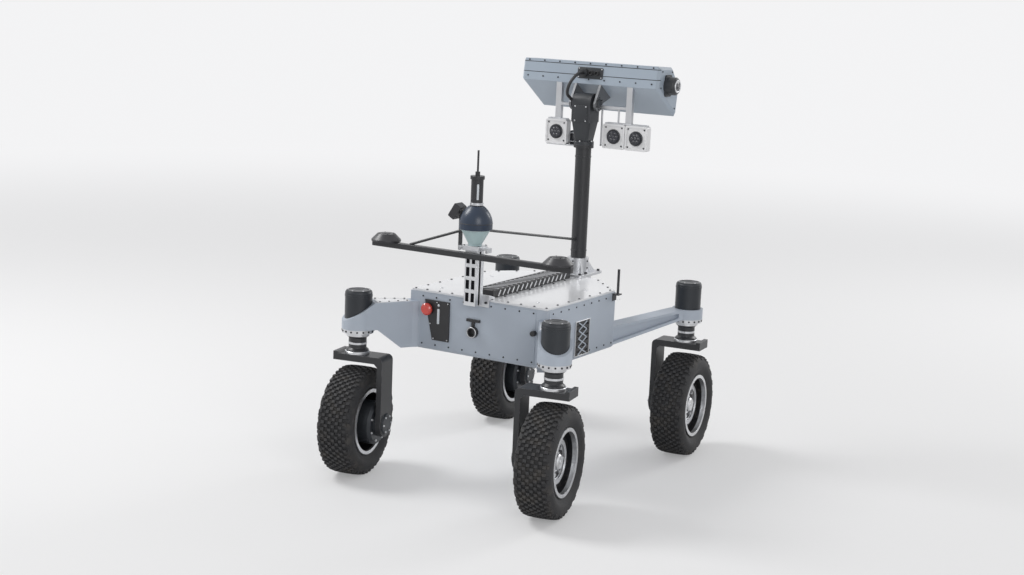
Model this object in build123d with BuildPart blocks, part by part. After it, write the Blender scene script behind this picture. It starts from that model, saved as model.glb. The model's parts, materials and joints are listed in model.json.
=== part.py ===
"""Four-wheel planetary rover prototype, in millimetres, +Z up.

The origin is on the ground, midway between the four steering axes.
+X is the rover's right and +Y is its front, where the camera mast stands.
"""
from build123d import *
import math
import os

os.makedirs("parts", exist_ok=True)

# Stance: the steering axes stand over the wheel centres
half_track = 342.0
half_wheelbase = 422.0
rear_steer = 10.0
front_steer = 6.0

# Tyre and rim
tyre_dia = 330.0
tyre_width = 116.0
tread_width = 68.0
shoulder_width = 98.0
shoulder_drop = 9.0
bead_dia = 190.0
bead_width = 80.0
wall_height = 32.0
bead_clear = 0.3
rim_width = 98.0
rim_flange_dia = 200.0
rim_wall = 5.0
disc_depth = 29.0
disc_thick = 8.0
disc_corner = 6.0
disc_ring_dia = 116.0
disc_ring_width = 14.0
disc_ring_rise = 6.0
hub_dia = 62.0
hub_cap_dia = 46.0
hub_cap_rise = 12.0
hub_cap_bevel = 4.0
hub_clear = 3.0
hub_reach = 2.0
axle_dia = 20.0
axle_engage = 10.0
axle_end_gap = 1.0

# Fork: crown plate over the tyre and one leg on the inboard side
tyre_head_room = 23.0
crown_thick = 20.0
crown_outboard = 62.0
fork_width = 74.0
leg_inner = 84.0
leg_outer = 101.0
leg_foot_dia = 78.0
fork_corner = 16.0
fork_inner_corner = 10.0
fork_lip_width = 12.0
fork_lip_height = 6.0
fork_lip_slope = 4.0
neck_dia = 68.0
neck_height = 64.0
neck_waist_dia = 54.0
neck_foot_height = 12.0
neck_head_height = 10.0
neck_bevel = 6.0

# Drive motor: its can fills the rim and its tail sits in the foot of the leg
drive_dia = 66.0
drive_cap = 5.0
drive_bevel = 4.0
drive_can_dia = 132.0
drive_can_back = 6.0
drive_can_bevel = 8.0

# Steering motor over each fork, with its clamp ring
motor_dia = 82.0
motor_length = 126.7
motor_rim = 5.0
ring_height = 12.0
ring_dia = 95.0
boss_height = 26.0
shaft_dia = 24.0
shaft_engage = 26.0
shaft_end_gap = 1.0
running_gap = 0.3
shaft_clear = 0.05

# Chassis
body_half_width = 240.0
body_rear = -296.0
body_shoulder = 115.0
nose_front = 250.0
nose_half_width = 115.0
body_bottom = 388.0
deck_top = 568.0
deck_thick = 6.0
deck_margin = 3.0
body_corner = 6.0

# Deck payload holes
deck_seam = 4.0
payload_hole_dia = 5.5
payload_half_x = 170.0
payload_rear = -230.0
payload_front = 50.0

# Arms from the chassis corners to the steering motors
arm_width = 98.0
rear_root_width = 48.0
arm_root_rise = 2.0
arm_root_level = 36.0
rear_arm_drop = 33.0
front_arm_width = 56.0
front_arm_depth = 60.0
front_arm_inset = 36.0
front_boss_rise = 6.0
front_web_inset = 9.0
front_web_depth = 12.0
arm_bury = 70.0

# Deck duct
duct_width = 64.0
duct_height = 22.0
duct_rear = -262.0
duct_front = 196.0
duct_wall = 3.0
duct_clear = 1.0
slot_width = 11.0
slot_length = 55.0
slot_skew = 28.0
slot_pitch = 26.0
slot_depth = 15.0

# Mast on the nose
mast_dia = 50.0
mast_wall = 3.0
mast_y = 300.0
mast_foot_drop = 98.0
mast_length = 515.0
collar_dia = 68.0
collar_height = 44.0
mount_plate_thick = 8.0
mount_half_width = 62.0
mount_rear = 212.0
mount_front = 356.0
mount_corner = 10.0
weld_depth = 2.0
gusset_thick = 6.0
gusset_reach = 24.0
gusset_height = 34.0
block_dia = 88.0

# Pan and tilt
pan_flange_dia = 64.0
pan_flange_thick = 10.0
pan_spigot = 30.0
pan_neck_width = 46.0
pan_neck_height = 62.0
pan_block_width = 66.0
pan_block_depth = 62.0
pan_corner = 7.0
tilt_height = 61.0
tilt_shaft_dia = 22.0

# Head
head_half_length = 248.0
head_ridge_back = 9.0
head_ridge_up = 59.0
head_rear_height = 69.0
head_rear_lean = 10.0
head_roof_depth = 92.0
head_roof_drop = 4.0
head_brow_depth = 50.0
head_brow_drop = 62.0
head_belly_reach = 138.0
head_belly_drop = 91.0
head_corner = 8.0
end_camera_dia = 56.0
end_camera_length = 36.0
end_camera_bevel = 5.0
end_camera_forward = 74.0
end_camera_up = 68.0
end_bracket_width = 40.0
end_bracket_height = 68.0
end_bracket_thick = 6.0
side_camera_dia = 44.0
side_camera_length = 36.0
side_camera_x = -61.0
side_camera_forward = 50.0
side_foot_width = 22.0
side_foot_height = 9.0
lens_dia = 44.0
lens_rise = 9.0
lens_places = (-170.0, -60.0, 60.0, 170.0)
yoke_thick = 8.0
yoke_gap = 7.0
yoke_eye_dia = 50.0
yoke_top_reach = 66.0

# Lamps under the head
lamp_side = 78.0
lamp_depth = 26.0
bezel_width = 6.0
bezel_depth = 2.0
lamp_drop = 100.0
lamp_forward = 15.0
left_lamp_places = (-106.0,)
right_lamp_places = (104.0, 184.0)
lamp_eye_dia = 38.0
lamp_eye_rise = 6.0
lamp_corner = 6.0
strap_thick = 4.0
strap_width = 22.0
strut_width = 20.0
right_strut_x = 150.0
left_strut_x = -106.0
tie_height = 8.0
tie_drop = 10.0
ridge_clear = 1.0

# Cable from the head's rear face to the left yoke cheek
cable_dia = 10.0
cable_lead = 16.0
cable_bend = 40.0
cable_step = 50.0
cable_tail = 33.9
gland_dia = 24.0
gland_length = 12.0
gland_x = -16.0
gland_drop = 35.0

# Rear post, crossbar and antennas
post_side = 40.0
post_slot = 10.0
post_slot_depth = 8.0
post_foot_drop = 16.0
post_length = 164.0
window_width = 12.0
window_height = 27.0
window_depth = 5.0
window_spread = 19.0
window_pitch = 38.0
window_rows = 4
bracket_width = 86.0
bracket_thick = 6.0
bracket_drop = 22.0
bracket_rise = 14.0
bracket_lip = 26.0
bar_drop = 14.0
bar_side = 18.0
bar_half_length = 342.0
bar_corner = 3.0
puck_dia = 88.0
puck_top_dia = 54.0
puck_foot = 6.0
puck_height = 23.0
saddle_width = 58.0
saddle_depth = 52.0
saddle_height = 14.0
saddle_corner = 6.0
ear_reach = 50.0
ear_width = 26.0
ear_low = 4.0
ear_thick = 6.0
ear_flange = 14.0
cone_low_dia = 40.0
cone_high_dia = 84.0
cone_lip_height = 4.0
cone_height = 48.0
dome_dia = 98.0
dome_height = 68.0
dome_rim_height = 18.0
dome_crown_dia = 44.0
radio_dia = 36.0
radio_cap_dia = 42.0
radio_cap_height = 10.0
radio_height = 88.0
whip_foot_dia = 14.0
whip_foot_height = 12.0
whip_dia = 6.0
whip_length = 74.0
receiver_width = 24.0
receiver_depth = 34.0
receiver_height = 46.0
receiver_lean = 32.0
receiver_corner = 4.0
receiver_x = -66.0
receiver_rise = 46.0
strip_thick = 4.0
strip_width = 16.0
strip_overlap = 8.0
brace_dia = 8.0
brace_foot_x = 210.0
brace_mast_rise = 112.0
brace_bury = 6.0
brace_drop = 6.0
brace_mast_x = 0.0

# Rear face fittings, placed down from the deck and in from the sides or out from the middle
panel_thick = 6.0
panel_drop = 26.0
panel_height = 121.0
panel_inset = 56.0
panel_width = 88.0
panel_low_inset = 85.0
button_clear = 1.0
button_inset = 69.0
button_drop = 54.0
button_dia = 37.0
button_collar_dia = 23.0
button_collar_rise = 12.0
button_rise = 24.0
button_bevel = 5.0
socket_x = -10.0
socket_drop = 103.0
socket_dia = 34.0
socket_bore_dia = 22.0
socket_rise = 14.0
socket_depth = 11.0
knob_inset = 41.0
knob_drop = 76.0
knob_dia = 16.0
latch_drop = 68.0
latch_width = 46.0
latch_height = 8.0
latch_stem = 8.0
latch_rise = 8.0

# Side grilles
grille_rear = -134.0
grille_front = -50.0
grille_drop = 63.0
grille_height = 105.0
grille_thick = 5.0
louvre_pitch = 16.0
louvre_height = 6.0
louvre_margin = 8.0

# Corner antenna
corner_antenna_out = 14.0
corner_antenna_back = 11.0
corner_antenna_length = 76.0
corner_antenna_dia = 8.0
foot_thick = 4.0
foot_width = 22.0
foot_drop = 2.0

# Heights that follow from the sizes above
wheel_z = tyre_dia / 2
crown_bottom = tyre_dia + tyre_head_room
crown_top = crown_bottom + crown_thick
neck_top = crown_top + neck_height
motor_bottom = neck_top + running_gap
motor_top = motor_bottom + motor_length
ring_top = motor_bottom + ring_height
boss_top = ring_top + boss_height
arm_root_bottom = body_bottom + arm_root_rise
deck_bottom = deck_top - deck_thick
post_y = body_rear - bracket_thick - post_side / 2
post_foot = deck_top - post_foot_drop
post_head = post_foot + post_length
bar_y = post_y - post_side / 2 - bar_side / 2
bar_z = post_head - bar_drop
mast_foot = deck_top - mast_foot_drop
mast_top = mast_foot + mast_length
pan_bottom = mast_top + running_gap
pan_shoulder = pan_bottom + pan_flange_thick
pan_block_bottom = pan_shoulder + pan_neck_height
tilt_z = pan_block_bottom + tilt_height

# Corners: name, side (+1 right), end (+1 front), heading of the wheel in degrees
corners = [
    ("rear_left", -1, -1, rear_steer),
    ("rear_right", 1, -1, rear_steer),
    ("front_left", -1, 1, front_steer),
    ("front_right", 1, 1, front_steer),
]


def inboard(side, heading):
    """Direction from the steering axis towards the rover's middle, across the wheel."""
    turn = math.radians(heading)
    return Vector(-side * math.cos(turn), -side * math.sin(turn), 0)


def cross_section(side, end, heading):
    """Upright plane through a steering axis: its x runs inboard and its y runs up."""
    across = inboard(side, heading)
    return Plane(
        origin=(side * half_track, end * half_wheelbase, 0),
        x_dir=across,
        z_dir=across.cross(Vector(0, 0, 1)),
    )


def wheel_plane(side, end, heading):
    """Plane through the wheel's centre whose x is radial (up) and whose y runs inboard."""
    across = inboard(side, heading)
    return Plane(
        origin=(side * half_track, end * half_wheelbase, wheel_z),
        x_dir=(0, 0, 1),
        z_dir=Vector(0, 0, 1).cross(across),
    )


# Tyre: a balloon section between the beads, with bevelled shoulders under the tread
def make_tyre(name, side, end, heading):
    plane = wheel_plane(side, end, heading)
    half_section = [
        (bead_dia / 2, bead_width / 2),
        (bead_dia / 2 + wall_height, tyre_width / 2),
        (tyre_dia / 2 - shoulder_drop, shoulder_width / 2),
        (tyre_dia / 2, tread_width / 2),
    ]
    other_half = [(radius, -half_width) for radius, half_width in reversed(half_section)]
    with BuildPart() as tyre:
        with BuildSketch(plane):
            with BuildLine():
                Polyline(*half_section, *other_half, close=True)
            make_face()
        revolve(axis=Axis(plane.origin, plane.y_dir))
    tyre.part.label = f"tyre_{name}"
    export_step(tyre.part, f"parts/tyre_{name}.step")


# Rim: barrel and flanges, a dished disc near the outboard side, hub and axle
def make_rim(name, side, end, heading):
    plane = wheel_plane(side, end, heading)
    seat = bead_dia / 2 - bead_clear
    barrel = seat - rim_wall
    half = rim_width / 2
    seat_end = bead_width / 2 + bead_clear
    wall_slope = (tyre_width - bead_width) / 2 / wall_height
    flange_in = seat_end + (rim_flange_dia / 2 - seat) * wall_slope
    disc_face = -half + disc_depth
    disc_back = disc_face + disc_thick
    cap_face = disc_face - hub_cap_rise
    ring_in = (disc_ring_dia - disc_ring_width) / 2
    ring_out = (disc_ring_dia + disc_ring_width) / 2
    hub_end = hub_reach
    with BuildPart() as rim:
        with BuildSketch(plane):
            with BuildLine():
                Polyline(
                    (0, cap_face),
                    (hub_cap_dia / 2 - hub_cap_bevel, cap_face),
                    (hub_cap_dia / 2, cap_face + hub_cap_bevel),
                    (hub_cap_dia / 2, disc_face),
                    (ring_in, disc_face),
                    (ring_in, disc_face - disc_ring_rise),
                    (ring_out, disc_face - disc_ring_rise),
                    (ring_out, disc_face),
                    (barrel, disc_face),
                    (barrel, -half),
                    (rim_flange_dia / 2, -half),
                    (rim_flange_dia / 2, -flange_in),
                    (seat, -seat_end),
                    (seat, seat_end),
                    (rim_flange_dia / 2, flange_in),
                    (rim_flange_dia / 2, half),
                    (barrel, half),
                    (barrel, disc_back + disc_corner),
                    (barrel - disc_corner, disc_back),
                    (hub_dia / 2, disc_back),
                    (hub_dia / 2, hub_end),
                    (axle_dia / 2, hub_end),
                    (axle_dia / 2, leg_inner + axle_engage),
                    (0, leg_inner + axle_engage),
                    close=True,
                )
            make_face()
        revolve(axis=Axis(plane.origin, plane.y_dir))
    rim.part.label = f"rim_{name}"
    export_step(rim.part, f"parts/rim_{name}.step")


# Fork: neck, crown and the inboard leg with its round foot, in one casting
def make_fork(name, side, end, heading):
    plane = cross_section(side, end, heading)
    across = inboard(side, heading)
    lip_end = -crown_outboard + fork_lip_width
    neck_foot = (crown_bottom + crown_top) / 2
    foot_plane = Plane(
        origin=plane.origin + across * leg_inner + Vector(0, 0, wheel_z),
        x_dir=(0, 0, 1),
        z_dir=across,
    )
    with BuildPart() as fork:
        with BuildSketch(plane):
            with BuildLine():
                Polyline(
                    (leg_outer, crown_top - fork_corner),
                    (leg_outer, wheel_z),
                    (leg_inner, wheel_z),
                    (leg_inner, crown_bottom - fork_inner_corner),
                    (leg_inner - fork_inner_corner, crown_bottom),
                    (-crown_outboard, crown_bottom),
                    (-crown_outboard, crown_top + fork_lip_height),
                    (lip_end, crown_top + fork_lip_height),
                    (lip_end + fork_lip_slope, crown_top),
                    (leg_outer - fork_corner, crown_top),
                )
                RadiusArc(
                    (leg_outer - fork_corner, crown_top),
                    (leg_outer, crown_top - fork_corner),
                    fork_corner,
                )
            make_face()
        extrude(amount=fork_width / 2, both=True)
        with BuildSketch(foot_plane):
            Circle(leg_foot_dia / 2)
        extrude(amount=leg_outer - leg_inner)
        with BuildSketch(foot_plane):
            Circle(drive_dia / 2)
        extrude(amount=leg_outer - leg_inner, mode=Mode.SUBTRACT)
        with BuildSketch(plane):
            with BuildLine():
                Polyline(
                    (0, neck_foot),
                    (neck_dia / 2, neck_foot),
                    (neck_dia / 2, crown_top + neck_foot_height),
                    (neck_waist_dia / 2, crown_top + neck_foot_height + neck_bevel),
                    (neck_waist_dia / 2, neck_top - neck_head_height - neck_bevel),
                    (neck_dia / 2, neck_top - neck_head_height),
                    (neck_dia / 2, neck_top),
                    (shaft_dia / 2, neck_top),
                    (shaft_dia / 2, neck_top + shaft_engage),
                    (0, neck_top + shaft_engage),
                    close=True,
                )
            make_face()
        revolve(axis=Axis(plane.origin, (0, 0, 1)))
    fork.part.label = f"fork_{name}"
    export_step(fork.part, f"parts/fork_{name}.step")


# Drive motor: a wide can inside the rim, a step against the leg and a tail in its foot, bored for the axle
def make_drive(name, side, end, heading):
    plane = wheel_plane(side, end, heading)
    bore = axle_dia / 2 + shaft_clear
    bore_end = leg_inner + axle_engage + axle_end_gap
    can_face = hub_reach + hub_clear
    can_back = leg_inner - drive_can_back
    back = leg_outer + drive_cap
    with BuildPart() as drive:
        with BuildSketch(plane):
            with BuildLine():
                Polyline(
                    (bore, can_face),
                    (drive_can_dia / 2 - drive_can_bevel, can_face),
                    (drive_can_dia / 2, can_face + drive_can_bevel),
                    (drive_can_dia / 2, can_back - drive_can_bevel),
                    (drive_can_dia / 2 - drive_can_bevel, can_back),
                    (leg_foot_dia / 2, can_back),
                    (leg_foot_dia / 2, leg_inner),
                    (drive_dia / 2, leg_inner),
                    (drive_dia / 2, back - drive_bevel),
                    (drive_dia / 2 - drive_bevel, back),
                    (0, back),
                    (0, bore_end),
                    (bore, bore_end),
                    close=True,
                )
            make_face()
        revolve(axis=Axis(plane.origin, plane.y_dir))
    drive.part.label = f"drive_motor_{name}"
    export_step(drive.part, f"parts/drive_motor_{name}.step")


# Steering motor: an upright can bored below for the neck's shaft
def make_steering_motor(name, side, end, heading):
    plane = cross_section(side, end, heading)
    bore = shaft_dia / 2 + shaft_clear
    bore_top = neck_top + shaft_engage + shaft_end_gap
    with BuildPart() as motor:
        with BuildSketch(plane):
            with BuildLine():
                Polyline(
                    (bore, motor_bottom),
                    (motor_dia / 2, motor_bottom),
                    (motor_dia / 2, motor_top - motor_rim),
                    (motor_dia / 2 - motor_rim / 2, motor_top),
                    (0, motor_top),
                    (0, bore_top),
                    (bore, bore_top),
                    close=True,
                )
            make_face()
        revolve(axis=Axis(plane.origin, (0, 0, 1)))
    motor.part.label = f"steering_motor_{name}"
    export_step(motor.part, f"parts/steering_motor_{name}.step")


for name, side, end, heading in corners:
    make_tyre(name, side, end, heading)
    make_rim(name, side, end, heading)
    make_fork(name, side, end, heading)
    make_drive(name, side, end, heading)
    make_steering_motor(name, side, end, heading)

# Clamp rings: one round the foot of each steering motor
with BuildPart() as rings:
    with BuildSketch(Plane.XY.offset(motor_bottom)):
        with GridLocations(2 * half_track, 2 * half_wheelbase, 2, 2):
            Circle(ring_dia / 2)
            Circle(motor_dia / 2, mode=Mode.SUBTRACT)
    extrude(amount=ring_height)
rings.part.label = "clamp_rings"
export_step(rings.part, "parts/clamp_rings.step")


def chassis_outline(margin):
    """Plan of the chassis, rear edge first, drawn in by a margin on every side."""
    lean = math.atan2(body_half_width - nose_half_width, nose_front - body_shoulder)
    half = body_half_width - margin
    shoulder = body_shoulder - margin * math.tan(lean / 2)
    nose = nose_half_width - margin * math.tan((math.pi / 2 - lean) / 2)
    front = nose_front - margin
    return [
        (-half, body_rear + margin),
        (half, body_rear + margin),
        (half, shoulder),
        (nose, front),
        (-nose, front),
        (-half, shoulder),
    ]


# Chassis: a painted box with a tapered nose
with BuildPart() as chassis:
    with BuildSketch(Plane.XY.offset(body_bottom)):
        with BuildLine():
            Polyline(*chassis_outline(0), close=True)
        make_face()
    extrude(amount=deck_bottom - body_bottom)
    chamfer(chassis.faces().sort_by(Axis.Z)[0].edges(), body_corner)
chassis.part.label = "chassis"
export_step(chassis.part, "parts/chassis.step")

# Deck: two glossy panels, one each side of the duct, each with two payload holes
with BuildPart() as deck:
    with BuildSketch(Plane.XY.offset(deck_bottom)):
        with BuildLine():
            Polyline(*chassis_outline(deck_margin), close=True)
        make_face()
        with Locations((0, (duct_front + duct_rear) / 2)):
            Rectangle(
                duct_width + 2 * duct_clear,
                duct_front - duct_rear + 2 * duct_clear,
                mode=Mode.SUBTRACT,
            )
        with Locations((0, nose_front)):
            Rectangle(deck_seam, 2 * (nose_front - duct_front), mode=Mode.SUBTRACT)
        with Locations((0, body_rear)):
            Rectangle(deck_seam, 2 * (duct_rear - body_rear), mode=Mode.SUBTRACT)
        with Locations((0, (payload_rear + payload_front) / 2)):
            with GridLocations(2 * payload_half_x, payload_front - payload_rear, 2, 2):
                Circle(payload_hole_dia / 2, mode=Mode.SUBTRACT)
    extrude(amount=deck_thick)
deck.part.label = "deck_panels"
export_step(deck.part, "parts/deck_panels.step")

# Duct: a channel with slanted slots from the rear post to the mast
duct_length = duct_front - duct_rear
slot_turn = math.radians(slot_skew)
slot_room = slot_length * math.sin(slot_turn) + slot_width * math.cos(slot_turn)
slot_count = int((duct_length - slot_room - 2 * duct_wall) / slot_pitch) + 1
with BuildPart() as duct:
    with BuildSketch(Plane.XY.offset(deck_bottom)):
        with Locations((0, (duct_front + duct_rear) / 2)):
            Rectangle(duct_width, duct_length)
    extrude(amount=deck_thick + duct_height)
    with BuildSketch(Plane.XY.offset(deck_top + duct_height)):
        with Locations((0, (duct_front + duct_rear) / 2)):
            with GridLocations(duct_width, slot_pitch, 1, slot_count):
                Rectangle(slot_length, slot_width, rotation=slot_skew)
    extrude(amount=-slot_depth, mode=Mode.SUBTRACT)
duct.part.label = "deck_duct"
export_step(duct.part, "parts/deck_duct.step")


def make_arm(name, end, root, root_width, tip_width, profile, web=None):
    """Arm from the chassis to a steering motor: plan and side profile crossed, then bored."""
    axis_foot = Vector(math.copysign(half_track, root.X), end * half_wheelbase, 0)
    along = (axis_foot - root).normalized()
    reach = (axis_foot - root).length
    plan = Plane(origin=root + Vector(0, 0, body_bottom), x_dir=along, z_dir=(0, 0, 1))
    upright = Plane(origin=root, x_dir=along, z_dir=along.cross(Vector(0, 0, 1)))
    with BuildPart() as arm:
        with BuildSketch(plan):
            with BuildLine():
                Polyline(
                    (-arm_bury, -root_width / 2),
                    (0, -root_width / 2),
                    (reach, -tip_width / 2),
                    (reach, tip_width / 2),
                    (0, root_width / 2),
                    (-arm_bury, root_width / 2),
                    close=True,
                )
            make_face()
            with Locations((reach, 0)):
                Circle(arm_width / 2)
        extrude(amount=motor_top - body_bottom)
        with BuildSketch(upright):
            with BuildLine():
                Polyline(*profile(reach), close=True)
            make_face()
        extrude(amount=arm_width, both=True, mode=Mode.INTERSECT)
        if web:
            for flank in (-1, 1):
                flank_plane = Plane(
                    origin=root + upright.z_dir * flank * tip_width / 2,
                    x_dir=along,
                    z_dir=upright.z_dir,
                )
                with BuildSketch(flank_plane):
                    with BuildLine():
                        Polyline(*web(reach), close=True)
                    make_face()
                extrude(amount=front_web_depth, both=True, mode=Mode.SUBTRACT)
        with BuildSketch(plan):
            with Locations((reach, 0)):
                Circle(motor_dia / 2)
        extrude(amount=motor_top - body_bottom, mode=Mode.SUBTRACT)
        with BuildSketch(Plane.XY.offset(body_bottom)):
            with BuildLine():
                Polyline(*chassis_outline(0), close=True)
            make_face()
        extrude(amount=deck_top - body_bottom, mode=Mode.SUBTRACT)
    arm.part.label = f"arm_{name}"
    export_step(arm.part, f"parts/arm_{name}.step")


def rear_profile(reach):
    """Side view of a rear arm: level top, then a slope down round the motor."""
    return [
        (-arm_bury, arm_root_bottom),
        (arm_root_level, arm_root_bottom),
        (reach - arm_width / 2, ring_top),
        (reach + arm_width / 2, ring_top),
        (reach + arm_width / 2, boss_top),
        (reach - motor_dia / 2, motor_top - rear_arm_drop),
        (-arm_bury, motor_top - rear_arm_drop),
    ]


def front_profile(reach):
    """Side view of a front arm: a slim beam that rises to the motor's boss."""
    return [
        (-arm_bury, arm_root_bottom),
        (0, arm_root_bottom),
        (reach - arm_width / 2, ring_top),
        (reach + arm_width / 2, ring_top),
        (reach + arm_width / 2, boss_top + front_boss_rise),
        (reach - arm_width / 2, boss_top + front_boss_rise),
        (0, arm_root_bottom + front_arm_depth),
        (-arm_bury, arm_root_bottom + front_arm_depth),
    ]


def front_web(reach):
    """Side view of the hollow in a front arm's flank, inside its top and bottom flanges."""
    web_end = reach - arm_width / 2 - front_web_inset
    rise = (ring_top - arm_root_bottom) / (reach - arm_width / 2)
    crown = (boss_top + front_boss_rise - arm_root_bottom - front_arm_depth) / (reach - arm_width / 2)
    low = arm_root_bottom + front_web_inset
    high = arm_root_bottom + front_arm_depth - front_web_inset
    return [
        (front_web_inset, low + rise * front_web_inset),
        (web_end, low + rise * web_end),
        (web_end, high + crown * web_end),
        (front_web_inset, high + crown * front_web_inset),
    ]


rear_root = Vector(body_half_width, body_rear, 0)
front_root = Vector(body_half_width - front_arm_inset, body_shoulder, 0)
rear_widths = (rear_root_width, arm_width)
front_widths = (front_arm_width, front_arm_width)
make_arm("rear_left", -1, Vector(-rear_root.X, rear_root.Y, 0), *rear_widths, rear_profile)
make_arm("rear_right", -1, rear_root, *rear_widths, rear_profile)
make_arm("front_left", 1, Vector(-front_root.X, front_root.Y, 0), *front_widths, front_profile, front_web)
make_arm("front_right", 1, front_root, *front_widths, front_profile, front_web)

# Mast mount: a plate on the nose, a collar with gussets and a block down its front
mount_top = deck_top + mount_plate_thick
gusset_root = collar_dia / 2 - weld_depth
with BuildPart() as mount:
    with BuildSketch(Plane.XY.offset(deck_top)):
        with Locations((0, (mount_rear + mount_front) / 2)):
            RectangleRounded(2 * mount_half_width, mount_front - mount_rear, mount_corner)
    extrude(amount=mount_plate_thick)
    with BuildSketch(Plane.XY.offset(mast_foot)):
        with Locations((0, mast_y)):
            Circle(block_dia / 2)
        with Locations((0, (nose_front + mast_y) / 2)):
            Rectangle(block_dia, mast_y - nose_front)
        with Locations((0, nose_front - block_dia / 2)):
            Rectangle(block_dia, block_dia, mode=Mode.SUBTRACT)
    extrude(amount=deck_top - mast_foot)
    with BuildSketch(Plane.XY.offset(mount_top)):
        with Locations((0, mast_y)):
            Circle(collar_dia / 2)
    extrude(amount=collar_height)
    for turn in (45, 135, 225, 315):
        spoke = Plane(
            origin=(0, mast_y, mount_top),
            x_dir=(math.cos(math.radians(turn)), math.sin(math.radians(turn)), 0),
            z_dir=(math.sin(math.radians(turn)), -math.cos(math.radians(turn)), 0),
        )
        with BuildSketch(spoke):
            with BuildLine():
                Polyline(
                    (gusset_root, 0),
                    (gusset_root + gusset_reach, 0),
                    (gusset_root, gusset_height),
                    close=True,
                )
            make_face()
        extrude(amount=gusset_thick / 2, both=True)
    with BuildSketch(Plane.XY.offset(mast_foot)):
        with Locations((0, mast_y)):
            Circle(mast_dia / 2)
    extrude(amount=mast_top - mast_foot, mode=Mode.SUBTRACT)
mount.part.label = "mast_mount"
export_step(mount.part, "parts/mast_mount.step")

# Mast: a round tube with a bearing flange at its head
with BuildPart() as mast:
    with BuildSketch(Plane.XY.offset(mast_foot)):
        with Locations((0, mast_y)):
            Circle(mast_dia / 2)
    extrude(amount=mast_top - mast_foot)
    with BuildSketch(Plane.XY.offset(mast_top)):
        with Locations((0, mast_y)):
            Circle(pan_flange_dia / 2)
    extrude(amount=-pan_flange_thick)
    with BuildSketch(Plane.XY.offset(mast_foot)):
        with Locations((0, mast_y)):
            Circle(mast_dia / 2 - mast_wall)
    extrude(amount=mast_top - mast_foot, mode=Mode.SUBTRACT)
mast.part.label = "mast"
export_step(mast.part, "parts/mast.step")

# Pan unit: flange and spigot on the mast, neck, and a block with a round top
with BuildPart() as pan:
    with BuildSketch(Plane.XY.offset(pan_bottom)):
        with Locations((0, mast_y)):
            Circle(pan_flange_dia / 2)
    extrude(amount=pan_flange_thick)
    with BuildSketch(Plane.XY.offset(pan_bottom)):
        with Locations((0, mast_y)):
            Circle(mast_dia / 2 - mast_wall - shaft_clear)
    extrude(amount=-pan_spigot)
    with BuildSketch(Plane.XY.offset(pan_shoulder)):
        with Locations((0, mast_y)):
            RectangleRounded(pan_neck_width, pan_neck_width, pan_corner)
    with BuildSketch(Plane.XY.offset(pan_block_bottom)):
        with Locations((0, mast_y)):
            RectangleRounded(pan_block_width, pan_block_depth, pan_corner)
    loft()
    with BuildSketch(Plane.YZ):
        with BuildLine():
            Polyline(
                (mast_y + pan_block_depth / 2, tilt_z),
                (mast_y + pan_block_depth / 2, pan_block_bottom),
                (mast_y - pan_block_depth / 2, pan_block_bottom),
                (mast_y - pan_block_depth / 2, tilt_z),
            )
            ThreePointArc(
                (mast_y - pan_block_depth / 2, tilt_z),
                (mast_y, tilt_z + pan_block_depth / 2),
                (mast_y + pan_block_depth / 2, tilt_z),
            )
        make_face()
    extrude(amount=pan_block_width / 2, both=True)
    with BuildSketch(Plane.YZ):
        with Locations((mast_y, tilt_z)):
            Circle(tilt_shaft_dia / 2 + shaft_clear)
    extrude(amount=pan_block_width, both=True, mode=Mode.SUBTRACT)
pan.part.label = "pan_unit"
export_step(pan.part, "parts/pan_unit.step")

# Head section in the YZ plane, from the ridge round over the roof to the belly
ridge = (mast_y + head_ridge_back, tilt_z + head_ridge_up)
rear_top = (ridge[0] + head_rear_lean, ridge[1] + head_rear_height)
front_top = (rear_top[0] + head_roof_depth, rear_top[1] - head_roof_drop)
brow = (front_top[0] + head_brow_depth, front_top[1] - head_brow_drop)
belly_front = (ridge[0] + head_belly_reach, ridge[1] - head_belly_drop)


def belly_point(distance):
    """Point on the head's sloping underside, measured forward along Y from its ridge."""
    return (ridge[0] + distance, ridge[1] - distance * head_belly_drop / head_belly_reach)


with BuildPart() as head:
    with BuildSketch(Plane.YZ):
        with BuildLine():
            Polyline(ridge, rear_top, front_top, brow, belly_front, close=True)
        make_face()
    extrude(amount=head_half_length, both=True)
    chamfer(head.faces().filter_by(Axis.X).edges(), head_corner)
    gland_z = rear_top[1] - gland_drop
    gland_y = rear_top[0] - head_rear_lean * gland_drop / head_rear_height
    with BuildSketch(Plane(origin=(gland_x, gland_y + head_corner, gland_z), x_dir=(1, 0, 0), z_dir=(0, -1, 0))):
        Circle(gland_dia / 2)
    extrude(amount=head_corner + gland_length)
head.part.label = "head_housing"
export_step(head.part, "parts/head_housing.step")

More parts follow.
